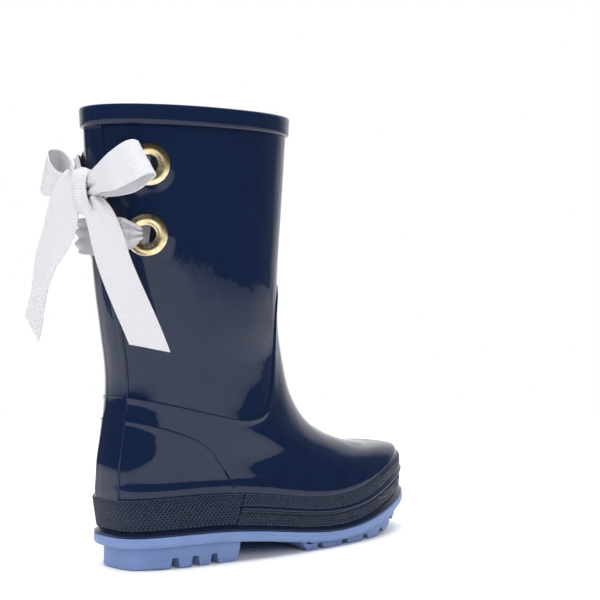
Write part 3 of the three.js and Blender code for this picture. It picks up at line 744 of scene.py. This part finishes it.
# %% [markdown]
# The mouth ends in a thick band. Its section is a rounded bar, so it is a ring of fourteen
# points carried round the leg.

# %% Collar band
COLLAR_PROUD = 1.5
collar_turn, _ = even_turn(AROUND_LEG, TOP)


def collar_section(out, inn):
    z0, z1 = COLLAR_FOOT, HEIGHT
    return ((out - 0.9, z0), (out - 0.35, z0 + 0.12), (out, z0 + 0.7), (out, z0 + 3), (out, z1 - 3),
            (out, z1 - 1.3), (out - 0.18, z1 - 0.7),
            (out - 0.6, z1 - 0.22), (out - 1.2, z1), (-inn + 0.7, z1), (-inn + 0.15, z1 - 0.3),
            (-inn, z1 - 0.9), (-inn, z1 - 5), (-inn, z0))


collar_ring = collar_section(COLLAR_PROUD, WALL)


def collar_point(i, j):
    off, z = collar_ring[j % len(collar_ring)]
    k = 9.0 + (z - last(9, 0).z) / (HEIGHT - last(9, 0).z)
    p = last(k, collar_turn[i], off)
    return Vector((p.x, p.y, z))


collar = finish_mesh("mouth_band", closed_volume(rolled_grid(AROUND_LEG, len(collar_ring),
        collar_point)), gloss_rubber)
stand_in(collar, "rubber", "collar_band")

# %% [markdown]
# ## Foxing
# The foxing is the band that ties the upper to the sole. Round the heel it is cut into small
# pyramids by two sets of slanting grooves; along the outer side two narrower knurled strips lie
# above and below a smooth bead and turn into upright ribs round the toe; at the arch it is plain.
# The knurl is real geometry on a grid of about a third of a millimetre.

# %% Arc of an outline, measured by length
class Outline:
    """One station's outline, addressed by millimetres of length instead of by angle."""

    def __init__(self, k, off, start, stop, fine=3000):
        row = station(k)
        self.angles = [start + (stop - start) * i / fine for i in range(fine + 1)]
        self.points = [last(k, t, off, row) for t in self.angles]
        self.run = [0.0]
        for a, b in zip(self.points, self.points[1:]):
            self.run.append(self.run[-1] + (b - a).length)

    def angle(self, s):
        low, high = 0, len(self.run) - 1
        while high - low > 1:
            mid = (low + high) // 2
            low, high = (mid, high) if self.run[mid] <= s else (low, mid)
        part = (s - self.run[low]) / max(self.run[high] - self.run[low], 1e-9)
        return self.angles[low] + (self.angles[high] - self.angles[low]) * part

    def run_at_x(self, x, outer):
        best = min((abs(p.x - x) + (0 if (p.y < 0) == outer else 1e3), s) for p,
                   s in zip(self.points, self.run))
        return best[1]


FOX_LOW, FOX_HIGH = 0.125, 1.0
BAND_TALL = 15.4              # mm of band between the lip and its top edge


def saw(v):
    return 1 - abs(2 * (v % 1) - 1)


def pyramids(s, w, pitch=2.25):
    return min(1.0, 1.55 * min(saw((s + w) / pitch), saw((s - w) / pitch)))


def window(w, low, high, soft=0.35):
    return soft_step(w, low, low + soft) * (1 - soft_step(w, high - soft, high))


def heel_relief(s, w, x):
    return 0.95 + 0.85 * pyramids(s, w) * window(w, 0.3, BAND_TALL - 0.8) + 0.4 * window(w,
            BAND_TALL - 0.9, BAND_TALL + 1)


def toe_relief(s, w, x):
    ribs = soft_step(x, 98, 120)
    knurl = (1 - ribs) * pyramids(s, w, 2.1) + ribs * saw(s / 1.75)
    bands = window(w, 0.6, 5.6) + window(w, 9.1, BAND_TALL - 0.7)
    bead = window(w, 6.2, 8.5, 0.9)
    return 0.85 + 0.85 * knurl * bands + 1.5 * bead + 0.5 * window(w, BAND_TALL - 0.8, BAND_TALL + 1)


def arch_relief(s, w, x):
    return 1.45 - 0.55 * window(w, 4.6, 5.6, 0.3) - 0.55 * window(w, 9.2, 10.2, 0.3)


def band_piece(name, node, outline, ends, relief, columns, rows=52, material=grip_rubber):
    """A stretch of foxing between two slanting ends; ends give mm of length at foot and top."""
    (a_foot, a_top), (b_foot, b_top) = ends

    def place(i, j):
        inner = j > rows
        w = (1 if j == rows + 1 else 0) if inner else j / rows
        s0, s1 = a_foot + (a_top - a_foot) * w, b_foot + (b_top - b_foot) * w
        s = s0 + (s1 - s0) * i / columns
        t = outline.angle(s)
        k = FOX_LOW + (FOX_HIGH - FOX_LOW) * w
        if inner:
            return last(k, t, -WALL)
        x = outline_x(outline, s)
        round_end = min(1.0, min(s - s0, s1 - s) / 0.25)
        round_top = math.sqrt(max(0, 1 - (1 - min(1, (1 - w) * BAND_TALL / 0.8)) ** 2))
        height = relief(s, w * BAND_TALL, x)
        return last(k, t, 0.2 + (height - 0.2) * math.sqrt(max(round_end, 0)) * (0.35 + 0.65
                * round_top) if w > 0 else 0.9)

    bm = rolled_grid(columns, rows + 3, lambda i, j: place(i, j if j < rows + 3 else 0), cap=True)
    piece = finish_mesh(name, closed_volume(bm), material)
    stand_in(piece, "rubber", node)


def outline_x(outline, s):
    return last(0.55, outline.angle(s)).x


heel_line = Outline(0.55, 1.4, math.pi * 0.25, math.pi * 1.75)
toe_line = Outline(0.55, 1.4, -math.pi * 0.8, math.pi * 0.75)


def end_pair(line, foot, top, outer, shift=0.0):
    return line.run_at_x(foot * LENGTH, outer) + shift, line.run_at_x(top * LENGTH, outer) + shift


band_piece("heel_band", "heel_foxing", heel_line,
           (end_pair(heel_line, 0.062, -0.01, False, 0.03),
            end_pair(heel_line, 0.022, 0.058, True, -0.03)), heel_relief, 520)
band_piece("toe_band", "toe_foxing", toe_line,
           (end_pair(toe_line, 0.022, 0.058, True, 0.03), end_pair(toe_line, 0.19, 0.25, False, -0.03)),
           toe_relief, 860)
band_piece("arch_band", "arch_foxing", toe_line,
           (end_pair(toe_line, 0.19, 0.25, False, 0.03),
            end_pair(toe_line, 0.062, -0.01, False, -0.03)), arch_relief, 70, material=gloss_rubber)

# %% Lip between the upper and the sole
AROUND_SOLE = 400             # steps round the lip and the rim
lip_turn, _ = even_turn(AROUND_SOLE, 0.0, 2)
LIP_SECTION = ((0.118, 0.85), (0.10, 1.1), (0.08, 1.6), (0.062, 2.3), (0.05, 2.85), (0.036, 3.15),
               (0.018, 3.2), (0.004, 3.05),
               (0.0, 2.6), (0.0, 1.0), (0.0, -WALL), (0.118, -WALL))
lip = finish_mesh("welt_lip_ring", closed_volume(rolled_grid(AROUND_SOLE, len(LIP_SECTION), lambda i,
        j: last(
    LIP_SECTION[j % len(LIP_SECTION)][0], lip_turn[i], LIP_SECTION[j % len(LIP_SECTION)][1]))),
    lip_rubber)
stand_in(lip, "rubber", "welt_lip")

# %% [markdown]
# ## Outsole
# The sole is moulded in one piece: a rim that follows the upper, a heel block and a cleated
# forefoot. Rim, blocks and cleats are separate closed volumes pressed a little into each other
# and joined into one object, as the cleats of the real mould run into the rim.

# %% Rim of the sole
RIM = ((-0.3, 0.5), (-0.3, 2.7), (-0.42, 3.15), (-0.8, 3.36), (-1.5, 3.4), (-3.4, 3.4), (-4.3, 3.25),
       (-4.95, 2.85), (-5.4, 2.2), (-5.6, 1.3), (-5.6, 0.2))


def rim_point(i, j):
    if j in (0, len(RIM) + 1):                     # ribs that close top and underside
        drop, off = RIM[0] if j == 0 else RIM[-1]
        p, q = last(0, lip_turn[i], off), last(0, -lip_turn[i], off)
        return Vector((p.x, (p.y + q.y) / 2, p.z + drop))
    drop, off = RIM[j - 1]
    p = last(0, lip_turn[i], off)
    if p.y > 0 and 17 < p.x < 42 and drop < -4.2:   # row of small teeth under the arch
        drop -= 1.3 * saw(p.x / 2.6) * min(1, (-drop - 4.0) / 1.2)
    return p + Vector((0, 0, drop))


rim_bm = closed_volume(rolled_grid(AROUND_SOLE, len(RIM) + 1, rim_point))


def between(xa, xb, off, height, along=48, across=10):
    """Outline of the sole between two cross lines, with the height of each point given by x."""
    row = station(0)

    def turn_at(x, side):
        low, high = 0.0, math.pi
        for _ in range(30):
            t = (low + high) / 2
            low, high = (t, high) if last(0, side * t, off, row).x > x else (low, t)
        return side * low

    out = []
    for side, first, second in ((-1, xa, xb), (1, xb, xa)):
        t0, t1 = turn_at(first, side), turn_at(second, side)
        arc = [last(0, t0 + (t1 - t0) * n / along, off, row) for n in range(along + 1)]
        out += [Vector((min(max(p.x, xa), xb), p.y, 0)) for p in arc]
        y0, y1 = arc[-1].y, last(0, turn_at(second, -side), off, row).y
        x = out[-1].x
        out += [Vector((x, y0 + (y1 - y0) * n / across, 0)) for n in range(1, across)]
    for p in out:
        p.z = height(p.x)
    return out


def cleat(bm_target, foot_x, top_x, foot_z, top_z, inset, edge=0.9):
    """One block: narrower or wider at the ground, with a rounded edge all round its foot."""
    (fa, fb), (ta, tb) = foot_x, top_x
    levels = [(0.0, edge, 0.0), (0.16 * edge, 0.42 * edge, 0.0), (0.5 * edge, 0.1 * edge, 0.0),
              (1.0 * edge, 0.0, 0.0), (None, 0.0, 1.0)]
    loops = []
    for up, pull, share in levels:
        xa, xb = fa + (ta - fa) * share + pull, fb + (tb - fb) * share - pull
        lift = (lambda x, up=up: foot_z(x) + up) if up is not None else top_z
        loops.append(between(xa, xb, inset - pull, lift))
    bm = rolled_grid(len(loops[0]), len(loops) - 1, lambda i, j: loops[j][i % len(loops[0])], cap=True)
    mesh = bpy.data.meshes.new("cleat")
    closed_volume(bm).to_mesh(mesh)
    bm.free()
    bm_target.from_mesh(mesh)
    bpy.data.meshes.remove(mesh)


def tread_height(x):
    rows = ((41.5, 11.0), (50.6, 0.0), (105.2, 0.0), (115.8, 2.43), (127.4, 7.5), (138.0, 12.8),
            (146.7, 15.4))
    for (x0, z0), (x1, z1) in zip(rows, rows[1:]):
        if x <= x1:
            return z0 + (z1 - z0) * clamped((x - x0) / (x1 - x0))
    return rows[-1][1]


def rim_height(x, drop):
    xb, zb, xf, zf, sag = station(0)[:5]
    q = clamped((x - xb) / (xf - xb))
    return zb + (zf - zb) * q + sag * math.sin(math.pi * q ** 1.5) ** 2 + drop


# %% Heel block and cleats
HEEL_BACK, BREAST_FOOT, BREAST_TOP = -60.0, 7.9, 11.0
notches = [-0.1332 * LENGTH, -0.0788 * LENGTH, -0.0254 * LENGTH]
cleat(rim_bm, (HEEL_BACK, 9.25), (HEEL_BACK, BREAST_TOP - 0.6), lambda x: 5.2,
      lambda x: rim_height(x, -3.0), -1.2, edge=0.1)
starts = [HEEL_BACK] + notches
stops = notches + [None]
for n, (a, b) in enumerate(zip(starts, stops)):
    foot = (a + (2.4 if n else 0), b - 2.4 if b is not None else BREAST_FOOT)
    top = (a + (1.4 if n else 0), b - 1.4 if b is not None else 9.3)
    teeth = (lambda x: 0.75 * saw(x / 1.5) if -41 < x < -28.5 else 0.0) if n == 0 else (lambda x: 0.0)
    cleat(rim_bm, foot, top, teeth, lambda x: 5.45, -1.2)

# %% Forefoot slab and cleats
cleat(rim_bm, (43.2, 146.0), (41.5, 146.2), lambda x: tread_height(x) + 3.0,
      lambda x: rim_height(x, -3.0), -0.4, edge=0.1)
cuts = [0.306 * LENGTH, 0.399 * LENGTH, 0.487 * LENGTH, 0.565 * LENGTH, 0.63 * LENGTH, 0.69 * LENGTH]
edges = [42.4] + cuts + [146.2]
for n, (a, b) in enumerate(zip(edges, edges[1:])):
    first, final = n == 0, n == len(edges) - 2
    cleat(rim_bm, (a + (0 if first else 2.4), b - (0 if final else 2.4)),
          (a + (0 if first else 1.4), b - (0 if final else 1.4)),
          tread_height, lambda x: tread_height(x) + 3.25, -0.4, edge=0.7)
outsole = finish_mesh("cleated_sole", rim_bm, sole_rubber)
stand_in(outsole, "outsole", "outsole")


def crease(piece, degrees=38):
    """Keep broad faces smooth and real corners crisp."""
    bm = bmesh.new()
    bm.from_mesh(piece.data)
    for edge in bm.edges:
        if len(edge.link_faces) == 2 and edge.calc_face_angle(0) > math.radians(degrees):
            edge.smooth = False
    bm.to_mesh(piece.data)
    bm.free()


crease(outsole)

# %% [markdown]
# ## Inside
# A dark knitted sock lines the wall. It shows in the mouth and through the eyelets, and the
# footbed lies on its floor.

# %% Lining and footbed
INNER = -WALL - GAP
sock_turn, _ = even_turn(240, 4.0)
SOCK_FLOOR = 0.225
SOCK_K = [0.17, 0.2, 0.3, 0.5, 0.75] + [1 + 9 * n / 60 for n in range(61)]


def sock_point(i, j):
    """Up the outer face and down the inner one; both ends close on the middle line."""
    t, rows = sock_turn[i], len(SOCK_K)
    if j < rows:
        k, off = SOCK_K[j], INNER
    else:
        k, off = SOCK_K[2 * rows - 1 - j] if j < 2 * rows - 1 else SOCK_FLOOR, INNER - LINING
    k = min(k, TOP - 0.04)
    p = last(k, t, off)
    if k > 7:                     # the sock is eased out under the eyelets like the leg
        p = eased(last(k, t)) - last(k, t) + p
    if j in (0, 2 * rows):
        p = Vector((p.x, (p.y + last(k, -t, off).y) / 2, p.z))
    return p


sock = finish_mesh("knit_sock", closed_volume(rolled_grid(240, 2 * len(SOCK_K), sock_point)),
                   knit_lining)
bore(sock)
stand_in(sock, "lining", "lining")

bed_turn, _ = even_turn(200, 0.3, -4)
BED_K, BED_SIDE = 0.245, INNER - LINING - GAP
BED = ((0, 0.6), (0, 0.0), (0.5, -0.3), (2.6, -0.15), (3.2, 0.35), (3.4, 1.1))


def bed_point(i, j):
    """The footbed's section carried round its outline; both faces close on the middle line."""
    up, pull = BED[min(max(j - 1, 0), len(BED) - 1)]
    p = last(BED_K, bed_turn[i], BED_SIDE - pull)
    y = (p.y + last(BED_K, -bed_turn[i], BED_SIDE - pull).y) / 2 if j in (0, len(BED) + 1) else p.y
    return Vector((p.x, y, p.z + up))


footbed = finish_mesh("textile_footbed", closed_volume(rolled_grid(200, len(BED) + 1, bed_point)),
                      knit_lining)
stand_in(footbed, "lining", "footbed")

# %% [markdown]
# ## Eyelets
# An eyelet is turned metal: a short barrel whose end is rolled out into a domed flange. The
# section is drawn once and spun a full turn. A flat washer clamps it from inside.

# %% Spin the eyelets and washers
HOLE = 4.5
EYELET_SECTION = ((HOLE, -5.9), (5.05, -5.9), (5.1, 0.2), (6.2, 0.32), (9.0, 0.32), (9.55, 0.4),
                  (9.86, 0.62), (9.98, 0.92), (9.9, 1.25), (9.6, 1.55),
                  (9.1, 1.8), (8.4, 2.05), (7.6, 2.18), (6.8, 2.15), (6.2, 1.98), (5.75, 1.72),
                  (5.5, 1.5), (5.3, 1.42), (5.05, 1.4), (4.8, 1.28), (4.62, 1.05), (HOLE, 0.7))
WASHER_SECTION = ((5.4, -5.6), (7.4, -5.6), (7.5, -5.5), (7.5, -4.9), (7.4, -4.8), (5.4, -4.8))


def spun(name, section, e, steps=72):
    bm = bmesh.new()
    verts = [bm.verts.new((r * MM, 0, h * MM)) for r, h in section]
    ring = [bm.edges.new((a, b)) for a, b in zip(verts, verts[1:] + verts[:1])]
    bmesh.ops.spin(bm, geom=verts + ring, axis=(0, 0, 1), cent=(0, 0, 0), angle=2 * math.pi,
                   steps=steps, use_merge=True)
    bmesh.ops.remove_doubles(bm, verts=bm.verts, dist=1e-7)
    bmesh.ops.recalc_face_normals(bm, faces=bm.faces)
    closed_volume(bm)
    turn = Vector((0, 0, 1)).rotation_difference(e["out"]).to_matrix().to_4x4()
    bmesh.ops.transform(bm, matrix=Matrix.Translation(e["at"] * MM) @ turn, verts=bm.verts)
    return finish_mesh(name, bm, brass)


for e in EYELETS:
    for label, section, node in (("flange", EYELET_SECTION, "eyelet_"),
                                 ("back_ring", WASHER_SECTION, "washer_")):
        piece = spun("%s_%s" % (label, e["name"]), section, e)
        stand_in(piece, "brass", node + e["name"])

# %% [markdown]
# ## Ribbon
# The bow is grosgrain ribbon, woven with heavy ribs from edge to edge. A ribbon is a strip that
# bends along a course, so each piece is a long grid: its rows follow the course one fifth of a
# rib apart, which lets the ribs be real relief, and its columns cross the strip on the front and
# come back on the reverse. Where the ribbon is pulled together it stays as wide as it was woven
# and goes into pleats. The hanging tails keep their ribs in the material alone, because light that
# runs along them makes raised ribs sparkle. The courses are listed row by row to keep the edges crisp.

# %% Course of a ribbon
RIBBON_WIDE, RIBBON_THICK, RIB = 19.5, 0.62, 1.08
RIB_RELIEF, SELVEDGE, EDGE_THIN = 0.25, 0.12, 0.45    # shares of the thickness
knot_at = Vector((-0.339 * LENGTH, -0.02 * LENGTH, 0.8145 * HEIGHT))


class Course:
    """Centre line of a ribbon. Each row is x, y, z, width and the direction across the ribbon."""

    def __init__(self, rows, fine=600):
        self.rows, self.fine = rows, fine
        spots = [self.place(n / fine) for n in range(fine + 1)]
        self.run = [0.0]
        for a, b in zip(spots, spots[1:]):
            self.run.append(self.run[-1] + (b - a).length)
        self.length = self.run[-1]

    def place(self, w):
        return Vector(blend_rows(self.rows, w * (len(self.rows) - 1), (0, 1, 2)))

    def frame(self, s):
        """Place, directions along, across and out of the face, and width at s millimetres."""
        beyond = s - min(max(s, 0), self.length)
        w = min(bisect.bisect_left(self.run, s - beyond), self.fine) / self.fine
        if 0 < w:
            n = round(w * self.fine)
            w = (n - 1 + (s - beyond - self.run[n - 1]) / max(self.run[n] - self.run[n - 1],
                    1e-9)) / self.fine
        along = (self.place(min(w + 0.012, 1)) - self.place(max(w - 0.012, 0))).normalized()
        width, *side = blend_rows(self.rows, w * (len(self.rows) - 1), (3, 4, 5, 6))
        side = Vector(side)
        side = (side - along * side.dot(along)).normalized()
        return self.place(w) + along * beyond, along, side, side.cross(along), width


def pleated(u, width, count, limit=1.6, phase=0.0):
    """Wave across the strip that takes up the width lost where it is pulled together."""
    share = max(RIBBON_WIDE / max(width, 1) - 1.02, 0)
    depth = min(limit, width / (math.pi * count) * math.sqrt(share * (share + 2)))
    return depth * math.cos(math.pi * count * u + phase)


ACROSS = [-1, -0.985, -0.94, -0.88] + [-0.8 + 1.6 * n / 24 for n in range(25)] + [0.88, 0.94, 0.985, 1]
AROUND = [(u, 1) for u in ACROSS] + [(u, -1) for u in reversed(ACROSS)]


def ribbon_strip(name, rows, fold, cut=0.0, relief=RIB_RELIEF):
    """A strip of ribbon along a course; cut is how far the far end is cut off on a slant."""
    course = Course(rows)
    longest = course.length + abs(cut)
    steps = int(longest / (RIB / 5))
    frames = {}

    def at(s):
        key = round(s, 5)
        if key not in frames:
            frames[key] = course.frame(s)
        return frames[key]

    def place(i, j):
        u, face_side = AROUND[i % len(AROUND)]
        closing = j in (0, steps + 2)
        raw = longest * min(max(j - 1, 0), steps) / steps
        s = min(raw, course.length + u * cut)
        spot, along, side, face, width = at(s)
        wave, nudge = fold(u, s, width), fold(u + 0.01, s, width)
        out = (face - side * (nudge - wave) / 0.01 / (width / 2)).normalized()
        edge = soft_step(abs(u), 0.9, 0.95)
        rib = math.sin(2 * math.pi * longest * j / steps / RIB)
        half = RIBBON_THICK / 2 * (1 + relief * rib * (1 - edge) + SELVEDGE * edge)
        if abs(u) == 1:
            half *= EDGE_THIN
        return spot + side * (u * width / 2) + face * wave + out * (0 if closing else half * face_side)

    bm = rolled_grid(len(AROUND), steps + 2, place,
                     uv_size=(2 * RIBBON_WIDE, longest * (steps + 2) / steps))
    piece = finish_mesh(name, closed_volume(bm), grosgrain)
    return piece, course


def by_knot(rows):
    return [(knot_at.x + x, knot_at.y + y, knot_at.z + z, *rest) for x, y, z, *rest in rows]


def beside(e, s, h, *rest):
    """Place beside an eyelet: s towards the back of the leg, h out from the wall."""
    p = e["at"] + e["back"] * s + e["out"] * h
    return (p.x, p.y, p.z, *rest)


eyelet_by_name = {e["name"]: e for e in EYELETS}
UPRIGHT = (0, 0, 1)

# %% [markdown]
# The lower run lies flat over the stay and is drawn into pleats where it enters the lower
# eyelets. Inside the leg it goes straight up, and comes out of the upper eyelets to the knot.

# %% Lower, inner and upper runs
def run_in(e, wide=1.0):
    return [beside(e, 12.5, 3.2, 16.5 * wide, *UPRIGHT), beside(e, 8.5, 3.9, 13.5 * wide, *UPRIGHT),
            beside(e, 5.4, 3.5, 10.6 * wide, *UPRIGHT),
            beside(e, 3.5, 1.9, 7.6 * wide, *UPRIGHT), beside(e, 2.6, 0, 6.6, *UPRIGHT),
            beside(e, 2.2, -6.4, 6.4, *UPRIGHT)]


def mirrored(rows):
    return [(x, -y, z, width, a, -b, c) for x, y, z, width, a, b, c in rows]


low_right, up_right = eyelet_by_name["lower_right"], eyelet_by_name["upper_right"]
back_z = low_right["at"].z
back_k = halve(5.0, float(TOP), 30, lambda k: last(k, math.pi).z < back_z)
low_back = last(back_k, math.pi).x - 2.0
low_half = [(low_back, 0, back_z - 0.6, 17.8, *UPRIGHT)] + run_in(low_right)
low_rows = mirrored(low_half[1:])[::-1] + low_half
low_length = Course(low_rows).length


def low_fold(u, s, width):
    end = min(s, low_length - s)
    flat = soft_step(end, 16, 30)
    return pleated(u + 0.12 * u * u, width, 3, 0.75 * soft_step(end, 2, 9) + 0.25,
                   0.9) * (1 - flat) - 0.25 * flat


def replace_sheet(piece, node, course, body="boot"):
    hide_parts(node)
    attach(piece, body)


back_run, course = ribbon_strip("back_run_strip", low_rows, low_fold)
replace_sheet(back_run, "ribbon_back_run", course)

for hand, e, top_e in (("right", low_right, up_right),
                       ("left", eyelet_by_name["lower_left"], eyelet_by_name["upper_left"])):
    inner_rows = [(*p[:2], p[2] + lift, wide, *q["back"]) for q, p, lift, wide in (
        (e, beside(e, 3.2, -7.1), -4.6, 9), (e, beside(e, 4.2, -7.2), 6, 13),
        (top_e, beside(top_e, 4.2, -7.2), -6, 13), (top_e, beside(top_e, 3.2, -7.1), 4.6, 9))]
    inner, course = ribbon_strip("inner_run_strip_" + hand, inner_rows, lambda u, s,
                                 width: 0.4 * pleated(u, width, 3, 0.6))
    replace_sheet(inner, "ribbon_inner_" + hand, course)

    side = -1 if hand == "right" else 1
    start = [(knot_at.x + 3.5, knot_at.y + side * 5.5, knot_at.z - 1, 9, *UPRIGHT)]
    upper, course = ribbon_strip("upper_run_strip_" + hand, start + run_in(top_e, 0.86)[1:], lambda u,
                                 s, width: pleated(u, width, 3, 0.75, 0.5 * u))
    replace_sheet(upper, "ribbon_upper_" + hand, course)

# %% [markdown]
# The knot is one turn of the ribbon round the gathered middle. Its edges curl in at both sides,
# and two soft pleats run along it, so it is a closed ring with a curved section.

# %% Knot
KNOT_DEEP, KNOT_HALF, KNOT_TALL = 4.7, 6.4, 10.8
CURL, KNOT_LEAN = 1.3, 0.12


def knot_rim(a):
    x, z = -KNOT_DEEP * math.cos(a), KNOT_TALL * math.sin(a)
    return Vector((x, z * KNOT_LEAN, z)), Vector((-math.cos(a) / KNOT_DEEP, 0,
                                                  math.sin(a) / KNOT_TALL)).normalized()


RING_STEPS = 270
knot_run = [0.0]
for n in range(RING_STEPS):
    knot_run.append(knot_run[-1] + (knot_rim(2 * math.pi * (n + 1) / RING_STEPS)[0] - knot_rim(2
            * math.pi * n / RING_STEPS)[0]).length)
knot_ribs = round(knot_run[-1] / RIB)


def knot_point(i, j):
    v, face_side = AROUND[j % len(AROUND)]
    n = i % RING_STEPS
    a = 2 * math.pi * n / RING_STEPS
    rim, out = knot_rim(a)
    pinch = 1 - 0.12 * math.cos(a)                                   # wider where it turns over top and foot
    pleats = 0.42 * math.cos(2.6 * math.pi * v + 0.9 * math.sin(a + 0.6)) * (0.4 + 0.6
            * math.cos(a) ** 2)
    sink = 2.9 * (1 - math.cos(CURL * v)) - pleats
    edge = soft_step(abs(v), 0.9, 0.95)
    half = RIBBON_THICK / 2 * (1 + RIB_RELIEF
                               * math.sin(2 * math.pi * knot_ribs * knot_run[n] / knot_run[-1])
                               * (1 - edge))
    half *= EDGE_THIN if abs(v) == 1 else 1
    tilt = Vector((0, math.sin(CURL * v) * 0.75, 0))
    return knot_at + rim + Vector((0, KNOT_HALF * pinch * math.sin(CURL * v) / math.sin(CURL),
                                   0)) - out * sink + (out + tilt).normalized() * half * face_side


knot_bm = rolled_grid(RING_STEPS, len(AROUND), knot_point, uv_size=(knot_run[-1], 2 * RIBBON_WIDE))
weave_uv = knot_bm.loops.layers.uv["weave"]
for face in knot_bm.faces:
    for loop in face.loops:
        loop[weave_uv].uv = loop[weave_uv].uv.yx * (knot_ribs * RIB / knot_run[-1])
knot = finish_mesh("knot_wrap", closed_volume(knot_bm), grosgrain)
stand_in(knot, "ribbon", "bow_knot")

# %% [markdown]
# Each loop leaves the knot gathered, opens to the full width, turns over and comes back behind
# itself. The tails hang from the knot and end in a slanting cut. The right loop is turned to
# show its broad side.

# %% Loops
LOOP_START, LOOP_SAG = 0.62 * 13, 1.7


def loop_rows(to_end, size, tilt, lift):
    e1 = Vector(to_end).normalized()
    across = Vector((0, tilt, 1))
    across = (across - e1 * e1.z).normalized()
    e2 = e1.cross(across)
    if e2.x > 0:
        e2.negate()
    path = ((-4.5, 1.2, 9), (-1, 2.8, 10), (6.5, 6.4, 12), (17, 8.2, 17.4), (26.5, 7.2, 19.5),
            (30.4, 4.9, 19.5), (31.2, 1.6, 19.5),
            (29.2, -1.4, 19.5), (18.5, -2.4, 19.5), (7.5, -0.8, 15.5), (0.4, 0.2, 10.5),
            (-3.2, 0.0, 8.5))
    rows = []
    for s, h, width in path:
        p = knot_at + e1 * (LOOP_START + s * size) + e2 * (h + lift * soft_step(s, -3.5, 9))
        p.z -= LOOP_SAG * math.sin(math.pi * clamped(s / 31))
        rows.append((*p, width, *across))
    return rows


for hand, to_end, size, tilt, lift in (("right", (0.24, -0.93, 0.38), 1.0, 0.3, 0),
                                       ("left", (0.26, 0.9, 0.38), 0.8, -0.1, 3)):
    rows = loop_rows(to_end, size, tilt, lift)
    whole = Course(rows).length

    def loop_fold(u, s, width):
        near = math.exp(-min(s, whole - s) / 9)
        return pleated(u, width, 2.3, 0.8, 0.5) * near + 0.4 * math.cos(math.pi * u) * near

    loop, course = ribbon_strip("loop_strip_" + hand, rows, loop_fold)
    replace_sheet(loop, "bow_loop_" + hand, course)

# %% Tails
TAILS = {
    "right": (((-0.8, -5.0, -3.5, 10, 0.6, -0.75, 0.1), (0.6, -9.2, -9.5, 13, 0.5, -0.84, 0),
               (1.2, -12.0, -14.5, 14.8, 0.46, -0.88, 0),
               (2.0, -14.8, -22, 17, 0.4, -0.9, 0), (3.4, -18.0, -32, 18.6, 0.3, -0.95, 0),
               (6.2, -25.5, -49, 19.5, 0.25, -0.97, 0),
               (9.4, -36.6, -72, 19.5, 0.25, -0.97, 0)), 6.5),
    "left": (((-2.6, 3.8, 8.4, 9, 0.2, -0.8, -0.55), (-4.4, 6.6, 2.6, 14, 0.25, -0.9, -0.42),
              (-5.2, 8.8, -4, 17, 0.25, -0.98, -0.2),
              (-5.0, 10.4, -11.2, 19, 0.25, -1, -0.05), (-4.9, 14.2, -20, 19.5, 0.15, -1, 0),
              (-5.7, 22, -32, 19.5, -0.05, -1, 0),
              (-7.2, 27, -48, 19.5, -0.22, -0.98, 0), (-8.2, 31.5, -64, 19.5, -0.12, -1, 0)), 3.5),
}
for hand, (rows, cut) in TAILS.items():
    def tail_fold(u, s, width):
        return pleated(u, width, 2, 0.9, 0.8) * math.exp(-s / 14) + 0.5 * math.sin(s / 9) * (1
                - math.exp(-s / 20))

    tail, course = ribbon_strip("tail_strip_" + hand, by_knot(rows), tail_fold, cut, relief=0)
    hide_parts("bow_tail_" + hand)
    below = knot_at + Vector(rows[-3][:3])
    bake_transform(tail)

# %% [markdown]
# The insole board is hidden under the footbed and keeps its own mesh with a fibre finish.

# %% Insole board
board_paint, board_tree, board_shader = new_material("fibre_board")
board_place = board_tree.nodes.new("ShaderNodeTexCoord").outputs["Object"]
board_tree.links.new(ramp_node(board_tree, noise_node(board_tree, board_place, 260, 6, 0.7),
                               ((0.3, (0.10, 0.085, 0.07)), (0.7, (0.17, 0.15, 0.12)))),
                     board_shader.inputs["Base Color"])
board_shader.inputs["Roughness"].default_value = 0.92
bump_node(board_tree, board_shader, noise_node(board_tree, board_place, 900, 4), 0.0001)
for slot_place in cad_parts["insole_board"].material_slots:
    slot_place.material = board_paint
